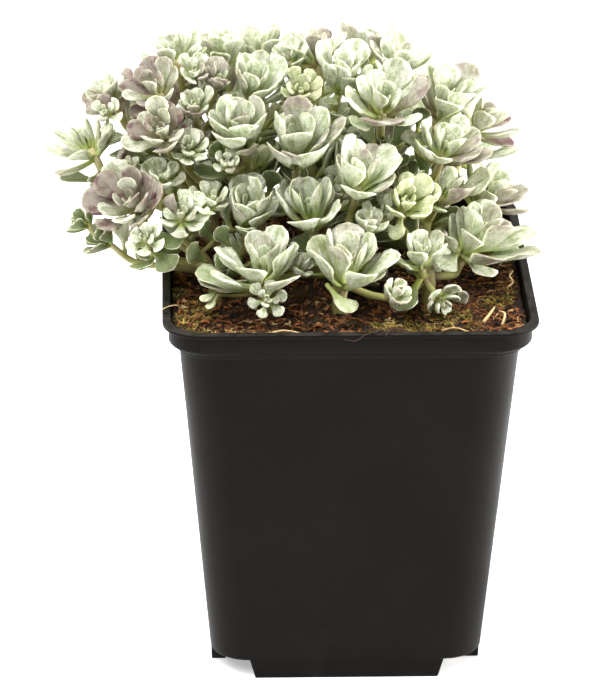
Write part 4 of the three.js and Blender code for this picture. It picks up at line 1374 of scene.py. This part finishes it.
# %% Freckles, pale edge, blush and spots
freckles = fade(bloom, grains(bloom, 2300, 3, 0.6), 0.34, 0.52, 0.55, 0.0)
colour = blend_colours(bloom, freckles, colour, (0.29, 0.3, 0.2, 1))
pale_edge = calculate(bloom, "MULTIPLY", edge_of_leaf, fade(bloom, along_leaf, 0.2, 0.6, 0, 0.9))
colour = blend_colours(bloom, pale_edge, colour, (0.92, 0.9, 0.64, 1))
tip_clouds = fade(bloom, grains(bloom, 260, 4, 0.6), 0.4, 0.62)
strongly, old_enough = fade(bloom, blush_chance, 0.65, 0.75), fade(bloom, age, 0.2, 0.38)
whole_blade = calculate(bloom, "MULTIPLY", strongly, old_enough)
blush_reach = calculate(bloom, "MAXIMUM", fade(bloom, along_leaf, 0.45, 1.0), whole_blade)
blushing = calculate(bloom, "MULTIPLY", blush_reach, calculate(bloom, "MAXIMUM", tip_clouds, 0.6))
blushing = calculate(bloom, "MULTIPLY", blushing, fade(bloom, blush_chance, 0.15, 0.75))
blushing = calculate(bloom, "MULTIPLY", blushing, given["Blush Share"])
colour = blend_colours(bloom, blushing, colour, given["Blush"])
blots, spotted = fade(bloom, grains(bloom, 620, 2), 0.7, 0.76), fade(bloom, leaf_chance, 0.75, 0.85)
spots = calculate(bloom, "MULTIPLY", blots, spotted)
colour = blend_colours(bloom, spots, colour, (0.09, 0.045, 0.025, 1))

bloom.links.new(colour, result.inputs["Color"])
bloom.links.new(fade(bloom, wax, 0, 1, 0.5, 0.78), result.inputs["Roughness"])
bloom.links.new(grains(bloom, 1500, 5, 0.65), result.inputs["Height"])
print("bloom group:", len(bloom.nodes), "nodes")


# %% Four tones of leaf
TONES = {
    "silver": {
        "Flesh": (0.23, 0.31, 0.08, 1), "Heart": (0.46, 0.54, 0.13, 1),
        "Bloom": (0.88, 0.9, 0.77, 1), "Bloom Share": 0.97, "Blush": (0.23, 0.14, 0.14, 1), "Blush Share": 0.85,
    },
    "fresh": {
        "Flesh": (0.32, 0.4, 0.1, 1), "Heart": (0.5, 0.56, 0.14, 1),
        "Bloom": (0.82, 0.84, 0.62, 1), "Bloom Share": 0.88, "Blush": (0.42, 0.24, 0.18, 1), "Blush Share": 0.2,
    },
    "mauve": {
        "Flesh": (0.22, 0.24, 0.09, 1), "Heart": (0.42, 0.43, 0.16, 1),
        "Bloom": (0.76, 0.77, 0.65, 1), "Bloom Share": 0.9, "Blush": (0.17, 0.09, 0.09, 1), "Blush Share": 1.0,
    },
    # The shade tone is partly the greener flesh of low, old leaves and partly painted shade: its much darker
    # colours stand for the shadow deep inside the mound.
    "shade": {
        "Flesh": (0.08, 0.12, 0.02, 1), "Heart": (0.28, 0.33, 0.05, 1),
        "Bloom": (0.24, 0.3, 0.14, 1), "Bloom Share": 0.6, "Blush": (0.13, 0.065, 0.065, 1), "Blush Share": 0.6,
    },
}


def leaf_finish(name, values):
    """A finish for leaves of one tone. A little light passes through them."""
    finish, tree, shader = new_finish(name, Subsurface_Weight=0.12, Subsurface_Scale=0.0015)
    shader.inputs["Subsurface Radius"].default_value = (1.0, 1.0, 0.4)
    made = use_group(tree, bloom, values)
    join(tree, shader, made["Color"], made["Roughness"], made["Height"], 0.00012)
    return finish


leaf_finishes = {tone: leaf_finish(tone + "_leaf", values) for tone, values in TONES.items()}
print("leaf finishes:", sorted(leaf_finishes))

# %% [markdown]
# ## The rosettes
#
# A rosette is a spiral of leaves: the oldest lie open round its rim, and each younger one is shorter and
# steeper, down to a tight bud. The frame has the outer and the inner ring. This piece keeps both where
# they are, sets a ring between them, adds a bud in the heart, and hangs a few old leaves below.

# %% Grow the leaves of a rosette
GOLDEN_TURN = 2.4
WIDE_OPEN = 46
NARROW, PLUMP = (0.76, 0.98), (0.9, 1.4)
BUD_LEAVES = 5
AGES = {"bud": 0.05, "inner": 0.25, "between": 0.4, "rim": 0.55, "single": 0.6, "stem": 0.8, "old": 0.95}


def aged(leaves, age, thick=1.0, plump=NARROW):
    """Marks leaves with an age from 0, in the bud, to 1, about to drop, and with their thickness and
    the least and most of their width."""
    for leaf in leaves:
        leaf.age, leaf.thick, leaf.plump = age, thick, plump
    return leaves


def rosette_leaves(rosette, chance, walls=None):
    """All leaves of one rosette, from the rim to the heart."""
    walls = room_walls(rosette) if walls is None else walls
    outer = frame_leaves(rosette, False, walls)
    inner = [] if rosette.small else frame_leaves(rosette, True, walls)
    rim = frame_whorl(rosette, False)
    rise = mix(OUTER_LIFT_CLOSED, OUTER_LIFT_OPEN, rosette.opening)
    step = 2 * math.pi / rim["count"]
    between, old, bud = [], [], []
    if rise < WIDE_OPEN and not rosette.small:
        ring = {**rim, "level": 0.8 * rosette.half, "radius": 0.8 * rim["radius"]}
        for k in range(rim["count"]):
            turn = rim["start"] + (k + 0.5) * step + chance.uniform(-0.2, 0.2)
            if chance.random() < 0.7:
                lift, length = rise + chance.uniform(4, 26), rosette.reach * chance.uniform(0.72, 1.0)
                between.append(grow_leaf(rosette, ring, turn, lift, length, walls))
    if rosette.small:
        ring = {**rim, "level": 0.7 * rosette.half, "radius": 0.5 * rim["radius"], "count": 3}
        for k in range(3):
            turn = rim["start"] + (k + 0.4) * math.pi / 1.5 + chance.uniform(-0.3, 0.3)
            lift, length = rise + chance.uniform(18, 34), rosette.reach * chance.uniform(0.75, 0.95)
            between.append(grow_leaf(rosette, ring, turn, lift, length, walls))
    low = {**rim, "level": -0.9 * rosette.half, "count": 5}
    for k in range(0 if rosette.small else 3):
        turn = rim["start"] + (chance.randrange(rim["count"]) + 0.5) * step
        length, lift = rosette.reach * chance.uniform(0.8, 1.0), rise - chance.uniform(14, 26)
        old.append(grow_leaf(rosette, low, turn, lift, length, walls, (1, 0.8), 1.2))
    heart = {
        "count": 3, "radius": 0.25 * rim["radius"], "level": (1.2 if rosette.small else 2.2) * rosette.half,
        "stations": INNER_STATIONS, "width": 0.55,
    }
    size = rosette.reach * (0.62 if rosette.small else 0.5)
    for k in range(BUD_LEAVES):
        bud.append(Leaf(rosette, heart, rosette.spin + k * GOLDEN_TURN, 60 + 6 * k, size * (1 - 0.13 * k)))
    between, old = [leaf for leaf in between if leaf], [leaf for leaf in old if leaf]
    return (
        aged(outer, AGES["rim"], 1.0, PLUMP if rosette.small else NARROW) + aged(inner, AGES["inner"], 0.95)
        + aged(between, AGES["between"]) + aged(old, AGES["old"]) + aged(bud, AGES["bud"], 0.75)
    )


def leafy_piece(name, leaves, chance, tone, nodes):
    """A piece made of bent copies of the leaf, or nothing where there are no leaves."""
    if not leaves:
        return
    places, ones, twos = [], [], []
    for leaf in leaves:
        places.append(leaf_points(leaf, chance))
        one, two = leaf_marks(leaf, tone, chance)
        ones.append(one)
        twos.append(two)
    shape = spread_copies(leaf_template, places, {"leaf": ones, "growth": twos})
    finish_piece(name, shape, leaf_finishes[tone], nodes)


ROSETTE_SEED, SPROUT_SEED, STEM_LEAF_SEED, SINGLE_SEED = 100, 200, 300, 400
leaf_total = 0
for index, family in enumerate(families):
    chance = random.Random(ROSETTE_SEED + index)
    leaves = [leaf for member in family["members"] for leaf in rosette_leaves(member, chance)]
    leafy_piece(f"{family['name']}_leaves", leaves, chance, family["members"][0].tone, [family["name"]])
    leaf_total += len(leaves)
print("leaves:", leaf_total)

# %% [markdown]
# ## The stems
#
# Under the rosettes the plant is a thicket of thin stems, brown at the soil, olive green above it and tan
# just below the leaves, with faint rings where old leaves have dropped. A curve with a bevel would do, but
# its radius could not swell at each ring so simply: a ring is drawn out along the same line as the frame's
# stem instead.

# %% Helpers for stems and stalks
STEM_SIDES = 8


def tube_along(points, radii, sides=STEM_SIDES):
    """A closed round tube through points, with a radius at each."""
    outlines = []
    sideways = (points[1] - points[0]).orthogonal().normalized()
    for index, point in enumerate(points):
        ahead = (points[min(index + 1, len(points) - 1)] - points[max(index - 1, 0)]).normalized()
        sideways = (sideways - ahead * sideways.dot(ahead)).normalized()
        other = ahead.cross(sideways)
        angles = [2 * math.pi * i / sides for i in range(sides)]
        outlines.append([point + radii[index] * (sideways * math.cos(a) + other * math.sin(a)) for a in angles])
    return draw_out(outlines)


def stem_radius(share, along, base, end):
    """A stem's radius: it thins upwards and swells a little at each old leaf's ring."""
    return mix(base, end, share) * (1 + 0.09 * max(0, math.sin(along * 2.1)) ** 3)


def add_tube(shape, points, base, end):
    """Adds a tube to a shape, marked with how far along each of its vertices is."""
    lengths = np.cumsum([0] + [(b - a).length for a, b in zip(points, points[1:])])
    radii = [float(stem_radius(far / lengths[-1], far, base, end)) for far in lengths]
    tube = tube_along(points, radii)
    layer = tube.verts.layers.float_color.new("stem")
    tube.verts.ensure_lookup_table()
    for index, vertex in enumerate(tube.verts):
        share = min(1, (index // STEM_SIDES) / (len(points) - 1))
        vertex[layer] = (share, 0, 0, 1)
    made = to_mesh(tube, "tube")
    shape.from_mesh(made)
    bpy.data.meshes.remove(made)


def new_stalks():
    """An empty shape for tubes."""
    shape = bmesh.new()
    shape.verts.layers.float_color.new("stem")
    return shape


def add_stalk(shape, foot, head, sag, steps, last, base, end):
    """A short stalk that sags a little between its foot and its head."""
    middle = foot.lerp(head, 0.5) + Vector((0, 0, -sag))
    add_tube(shape, along_curve([foot, middle, head], steps) + [last], base, end)


print("a stem's radius halfway:", round(stem_radius(0.5, 0, 1.75, 1.5), 3))

# %% The stems' skin
skin, tree, shader = new_finish("stem_skin", Roughness=0.6)
share = attribute(tree, "stem")[0]
bark_light = use_group(tree, speckle, {
    "Light": (0.36, 0.26, 0.13, 1), "Dark": (0.17, 0.12, 0.05, 1),
    "Cloud Scale": 260.0, "Grain Scale": 2400.0, "Grain Share": 0.4,
})
greener = blend_colours(tree, fade(tree, share, 0.1, 0.45, 0, 0.8), bark_light["Color"], (0.34, 0.35, 0.1, 1))
tanned = blend_colours(tree, fade(tree, share, 0.75, 1.0, 0, 0.7), greener, (0.6, 0.5, 0.3, 1))
join(tree, shader, tanned, None, bark_light["Height"], 0.00015)
print("stem skin:", len(tree.nodes), "nodes")

# %% Draw the stems
TRUNK_FOOT, TRUNK_STEPS, TRUNK_SWAY = 78.5, 12, 0.25
TRUNK_RADIUS, TRUNK_END = 1.75, 1.5
STEM_RADIUS, STEM_STEPS = 1.05, 22
for index, shoot in enumerate(SHOOTS):
    shape = new_stalks()
    foot = Vector((*shoot["foot"], 0))
    trunk = [
        foot + Vector((TRUNK_SWAY * math.sin(z), TRUNK_SWAY * math.cos(z * 1.3), z))
        for z in np.linspace(TRUNK_FOOT, TRUNK_TOP, TRUNK_STEPS)
    ]
    add_tube(shape, trunk, TRUNK_RADIUS, TRUNK_END)
    for place in families_on(index):
        rosette = families[place]["members"][0]
        points = along_curve(families[place]["knots"], STEM_STEPS)
        points.append(rosette.hub + rosette.axis * rosette.half * 1.6)
        add_tube(shape, points, STEM_RADIUS, min(1.0, 0.5 * CORE_SHARE * rosette.reach + 0.2))
    finish_piece(f"stem_{index + 1}_round", shape, skin, [ALL_STEMS[index]])

# %% Draw the offsets' stalks
stalks, carriers = new_stalks(), []
for family in families:
    parent, offsets = family["members"][0], family["members"][1:]
    for offset in offsets:
        last = offset.hub + offset.axis * offset.half * 1.4
        add_stalk(stalks, parent.hub, offset.hub, 0.8, 8, last, STEM_RADIUS, 0.8)
    if offsets:
        carriers.append(family["name"])
finish_piece("offset_stalks", stalks, skin, carriers)
print("stems:", len(SHOOTS), "and stalks on", len(carriers), "rosettes")

# %% [markdown]
# ### Stray roots
#
# A few roots and straws don't lie in the felt: a dark one climbs over the front of the lip and forks,
# a pale one crosses the left side, a white one curls up the right wall, and pale straws lie near the
# front. Each has a shape that no random draw would give, so its points are written down and a thin tube is
# drawn through them.

# %% Lay the stray roots
DARK_ROOT, PALE_ROOT, WHITE_ROOT = 0.12, 0.97, 1.0
ROOT_STEPS = 5
# Each row gives the points, the radius in millimetres and the shade.
STRAY_ROOTS = [
    ([(15, -39, 95.2), (12, -41.5, 97.3), (8.8, -42.6, 98.1), (5.4, -44.2, 98.1), (2.5, -45.2, 97.4)],
     0.26, DARK_ROOT),
    ([(2.5, -45.2, 97.4), (0.8, -45.3, 96.2), (-2.2, -45.4, 96.6)], 0.13, DARK_ROOT),
    ([(6.4, -43.7, 98.2), (4.8, -43.2, 98.4), (3.2, -43.8, 98.0)], 0.16, DARK_ROOT),
    ([(9.6, -42.3, 98.1), (8.6, -43.8, 98.0), (7.8, -45.3, 97.2)], 0.16, DARK_ROOT),
    ([(-39.5, -24, 95), (-41.6, -27, 97.8), (-44.6, -29.4, 98.0), (-46.0, -30.8, 96.9)], 0.22, PALE_ROOT),
    ([(39.2, -10, 94.5), (40.8, -8.6, 95.6), (40.0, -7.2, 96.6), (40.9, -5.6, 97.2)], 0.36, WHITE_ROOT),
    ([(32, -31, 94.6), (34.4, -27, 95.9), (35.2, -23.5, 95.4)], 0.45, PALE_ROOT),
    ([(36.4, -33, 94.6), (37.2, -29.6, 96.2), (36.0, -27.4, 96)], 0.4, PALE_ROOT),
    ([(-20, -37, 94.5), (-16, -39.0, 96.2), (-11.4, -39.8, 95.7)], 0.34, PALE_ROOT),
    ([(22, -34, 93.8), (25, -37.0, 95.7), (28, -38.2, 95.2)], 0.34, PALE_ROOT),
]
roots = bmesh.new()
shade_of_root = roots.verts.layers.float_color.new("litter")
for points, radius, shade in STRAY_ROOTS:
    knots = [Vector(point) for point in points]
    path = along_curve(knots, ROOT_STEPS * (len(knots) - 1))
    before = len(roots.verts)
    add_tube(roots, path, radius, 0.4 * radius)
    roots.verts.ensure_lookup_table()
    for vertex in roots.verts[before:]:
        vertex[shade_of_root] = (shade, 0.5, 0.5, 1)
finish_piece("stray_roots", roots, coir, ["soil"])
print("stray roots:", len(STRAY_ROOTS))

# %% [markdown]
# ### Side shoots
#
# Young rosettes break from the stems all through the mound and stand in whatever gap there is. Giving
# each a place by hand would take long, so a stem sprouts at random: a place on it is drawn from a seeded
# generator, and the shoot stays only where it stands free of the rosettes and its leaves find room.

# %% Let the stems sprout
class StemKnot:
    """A point on a stem from which leaves grow, with directions as a rosette has."""

    def __init__(self, knots, share, family):
        self.hub = smooth_curve(knots, share)
        before, after = smooth_curve(knots, share - 0.03), smooth_curve(knots, min(1, share + 0.03))
        self.axis = (after - before).normalized()
        self.across = self.axis.cross(Vector((0.2, 0.9, 0.1))).normalized()
        self.along = self.axis.cross(self.across)
        self.family = family


LEFT_SIDE = -36.0
LEFT_TONES, RIGHT_TONES = ["silver", "mauve"], ["silver", "silver", "silver", "fresh"]
FEWEST_LEAVES = 10
YOUNG_SEED = 1000
standing = [(member.middle, member.reach) for member in everyone]


def outside_rosettes(points, deep=0.78):
    """Whether points stay out of the middle of every rosette and side shoot."""
    middles = np.array([middle for middle, _ in standing])
    reaches = np.array([reach for _, reach in standing])
    return bool((np.linalg.norm(points[:, None] - middles[None], axis=2) > deep * reaches).all())


def clear_of_edge(points, lowest=102.0):
    """Whether points beyond the pot's lip don't hang down beside it."""
    beyond = np.abs(points[:, :2]).max(axis=1) > LIP_WIDTH / 2
    return not (beyond & (points[:, 2] < lowest)).any()


def sprout(index, chance):
    """A side shoot at a random place on a stem, or nothing where it has no room."""
    knot = StemKnot(families[index]["knots"], chance.uniform(0.35, 0.92), index)
    turn, lean, reach = chance.uniform(0, 2 * math.pi), chance.uniform(0.5, 1.3), chance.uniform(5, 8)
    outward = knot.across * math.cos(turn) + knot.along * math.sin(turn)
    axis = (knot.axis * math.cos(lean) + outward * math.sin(lean) + Vector((0, 0, 0.3))).normalized()
    hub = knot.hub + outward * chance.uniform(2.5, 8)
    towards, tilt = math.degrees(math.atan2(axis.y, axis.x)), math.degrees(math.acos(axis.z))
    tone = chance.choice(LEFT_TONES if hub.x < LEFT_SIDE else RIGHT_TONES)
    count, opening = chance.randrange(5, 8), chance.uniform(0.3, 0.65)
    row = (*hub, towards, tilt, min(reach, SMALL_REACH - 0.1), count, opening, tone)
    young = Rosette(row, YOUNG_SEED + len(standing), None)
    free = all((middle - young.middle).length > 0.8 * (reach + young.reach) for middle, reach in standing)
    if not free or not outside_rosettes(np.array([hub]), 0.9):
        return None
    walls = room_walls(young)
    young.family = index
    leaves = rosette_leaves(young, chance, walls)
    if len(leaves) < FEWEST_LEAVES or not all(clear_of_edge(leaf.outline()) for leaf in leaves):
        return None
    standing.append((young.middle, young.reach))
    return knot.hub, young, leaves


print("rosettes and offsets that stand:", len(standing))

# %% Grow the side shoots
TRIES, MOST_SHOOTS = 26, 3
side_stalks = new_stalks()
sprouted = 0
for order, stem in enumerate(ALL_STEMS):
    chance = random.Random(SPROUT_SEED + order)
    leaves = {"silver": [], "mauve": [], "fresh": []}
    for index in families_on(order):
        grown = 0
        for _ in range(TRIES):
            found = sprout(index, chance) if grown < MOST_SHOOTS else None
            if found:
                foot, young, its_leaves = found
                leaves[young.tone] += its_leaves
                grown += 1
                last = young.hub + young.axis * young.half * 1.3
                add_stalk(side_stalks, foot, young.hub, 0.5, 6, last, 0.85, 0.7)
        sprouted += grown
    for tone, its_leaves in leaves.items():
        leafy_piece(f"{stem}_shoots_{tone}", its_leaves, chance, tone, [stem])
finish_piece("side_stalks", side_stalks, skin, ALL_STEMS)
print("side shoots:", sprouted)

# %% [markdown]
# ### Leaves along the stems
#
# A stem keeps some of the leaves that it bore before its rosette moved on. They close the mound: without
# them the eye would look straight through the stems. Each stem carries a loose spiral of them, wherever
# they stay out of the rosettes. High up they are still silver, or mauve on the plant's left. Low down they
# get the shade tone: greener, as old low leaves are, and darker as painted shade for the mound's inside.
# A piece has one finish, so each tone on a stem is a piece of its own.

# %% Grow them up each stem
LIT_FROM = 124.0
NEAR_STEM = 0.9
FEWEST_ON_STEM, MOST_ON_STEM, STEM_LEAF_STEP = 6, 34, 1.3


def stem_leaves(index, chance):
    """The leaves on one stem that find room, by tone."""
    found = {"shade": [], "silver": [], "mauve": []}
    knots = families[index]["knots"]
    count = max(FEWEST_ON_STEM, min(MOST_ON_STEM, int((knots[-1] - knots[0]).length / STEM_LEAF_STEP)))
    for k in range(count):
        share = mix(0.2, 0.97, k / (count - 1))
        knot = StemKnot(knots, share, index)
        ring = {"count": 3, "radius": 1.5, "level": 0, "stations": OUTER_STATIONS}
        longest = 11 if knot.hub.x < LEFT_SIDE else 16
        for length in (chance.uniform(10, longest), 10, 8):
            turn = GOLDEN_TURN * k + chance.uniform(-0.4, 0.4)
            leaf = Leaf(knot, ring, turn, chance.uniform(5, 50), length)
            corners = leaf.outline()
            if has_room(corners, (), index, NEAR_STEM) and outside_rosettes(corners) and clear_of_edge(corners):
                tip = leaf.point(1, 0, 0)
                # Leaves that are not lit, by their height or their place on the stem, get the darker shade
                # tone: painted shade.
                lit = tip.z > LIT_FROM or share > 0.8 and k % 2
                found["shade" if not lit else "mauve" if tip.x < LEFT_SIDE else "silver"].append(leaf)
                break
    return found


kept = {"shade": 0, "silver": 0, "mauve": 0}
for order, stem in enumerate(ALL_STEMS):
    chance = random.Random(STEM_LEAF_SEED + order)
    grown = {"shade": [], "silver": [], "mauve": []}
    for index in families_on(order):
        for tone, found in stem_leaves(index, chance).items():
            grown[tone] += found
    for tone, leaves in grown.items():
        leafy_piece(f"{stem}_leaves_{tone}", aged(leaves, AGES["stem"], 0.9), chance, tone, [stem])
        kept[tone] += len(leaves)
print("leaves along the stems:", kept)

# %% [markdown]
# ### Single leaves
#
# Some leaves hang or stand where no rule would put them: one droops over the lip, one lies on the soil,
# a few stand up between two rosettes. Each is set from its root to its tip, with the way its hollow side
# faces, and is bent from the same template. A short stalk joins its root to the nearest stem.

# %% Set single leaves
class SetLeaf(Leaf):
    """A leaf from one point to another."""

    def __init__(self, root, tip, facing, width):
        self.root, step = Vector(root), Vector(tip) - Vector(root)
        self.length, self.forward = step.length, step.normalized()
        self.width, self.radius, self.spread, self.wedge = self.length * width, self.length, 0, 1
        self.side = self.forward.cross(Vector(facing)).normalized()
        self.upward = self.side.cross(self.forward)
        self.stations = OUTER_STATIONS


# Each row gives the root, the tip, the way that the hollow side faces, and the width as a share of
# the length.
SET_LEAVES = {
    "silver": [
        ((28.7, -5, 101.1), (35.2, -15, 97.6), (0.2, -0.3, 1), 0.6),
        ((27.7, -5, 102.6), (22.6, -13, 99.9), (0, -0.8, 1), 0.75),
        ((17.9, 6, 123.9), (14.4, 3, 131.8), (-0.3, -1, 0.3), 0.55),
        ((-28.1, -5, 108.6), (-31.5, -8, 117.9), (0.8, -1, 0.2), 0.5),
    ],
    "fresh": [
        ((-3.8, -21, 103.2), (-9.1, -19, 112.3), (0.3, -1, 0.3), 0.75),
        ((13.4, -8, 113.4), (11.7, -13, 108), (-0.3, -1, 0.6), 0.7),
        ((-4.8, -23, 100.6), (0.2, -32, 96.6), (0.3, -0.4, 1), 0.6),
        ((-31, -22, 99.6), (-35.9, -27, 97.9), (0, -0.6, 1), 0.5),
        ((-31.5, -23.5, 99), (-34, -28.4, 96.6), (-0.2, -0.5, 1), 0.5),
    ],
    # These leaves stand deep between rosettes, and the darker shade tone paints the shade that falls there.
    "shade": [
        ((-26.3, 2, 120.7), (-37.3, -4, 121.5), (0, -0.6, 1), 0.6),
        ((-28, 2, 124.4), (-33.8, -1, 128.7), (0, -1, 0.4), 0.8),
        ((-37.9, -12, 110.7), (-45.9, -18, 108.5), (0, -0.7, 1), 0.8),
        ((-26, -16, 102.6), (-32.9, -18, 106.2), (0, -1, 0.7), 0.7),
        ((-34.3, -14, 103.6), (-39.6, -18, 109.0), (0, -1, 0.6), 0.75),
        ((-32.3, -10, 107.7), (-36.4, -12, 113.3), (0.2, -1, 0.5), 0.75),
        ((-28.0, -13, 106.3), (-32.1, -14, 113.0), (0.3, -1, 0.4), 0.7),
        ((-18.8, 8, 112.0), (-17.6, 6, 120.1), (0, -1, 0.3), 0.75),
        ((18.0, 13, 127.2), (18.8, 12, 134.4), (0.2, -1, 0.3), 0.8),
    ],
    "mauve": [
        ((-58.9, 13, 135.5), (-63.9, 11, 137.3), (0.2, -0.6, 1), 0.8),
    ],
}


def nearest_on_stem(point):
    """The point of all stems that lies nearest."""
    offsets = np.array(point) - line_starts
    share = np.clip((offsets * line_steps).sum(1) / (line_steps ** 2).sum(1), 0, 1)
    spots = line_starts + share[:, None] * line_steps
    return Vector(spots[np.linalg.norm(spots - np.array(point), axis=1).argmin()])


chance = random.Random(SINGLE_SEED)
single_stalks = new_stalks()
for tone, rows in SET_LEAVES.items():
    leaves = aged([SetLeaf(*row) for row in rows], AGES["single"])
    leafy_piece(f"single_leaves_{tone}", leaves, chance, tone, ALL_STEMS)
    for leaf in leaves:
        foot, last = nearest_on_stem(leaf.root), leaf.root + leaf.forward
        add_stalk(single_stalks, foot, leaf.root, 0.4, 6, last, 0.6, 0.5)
finish_piece("single_stalks", single_stalks, skin, ALL_STEMS)
print("single leaves:", sum(len(rows) for rows in SET_LEAVES.values()))
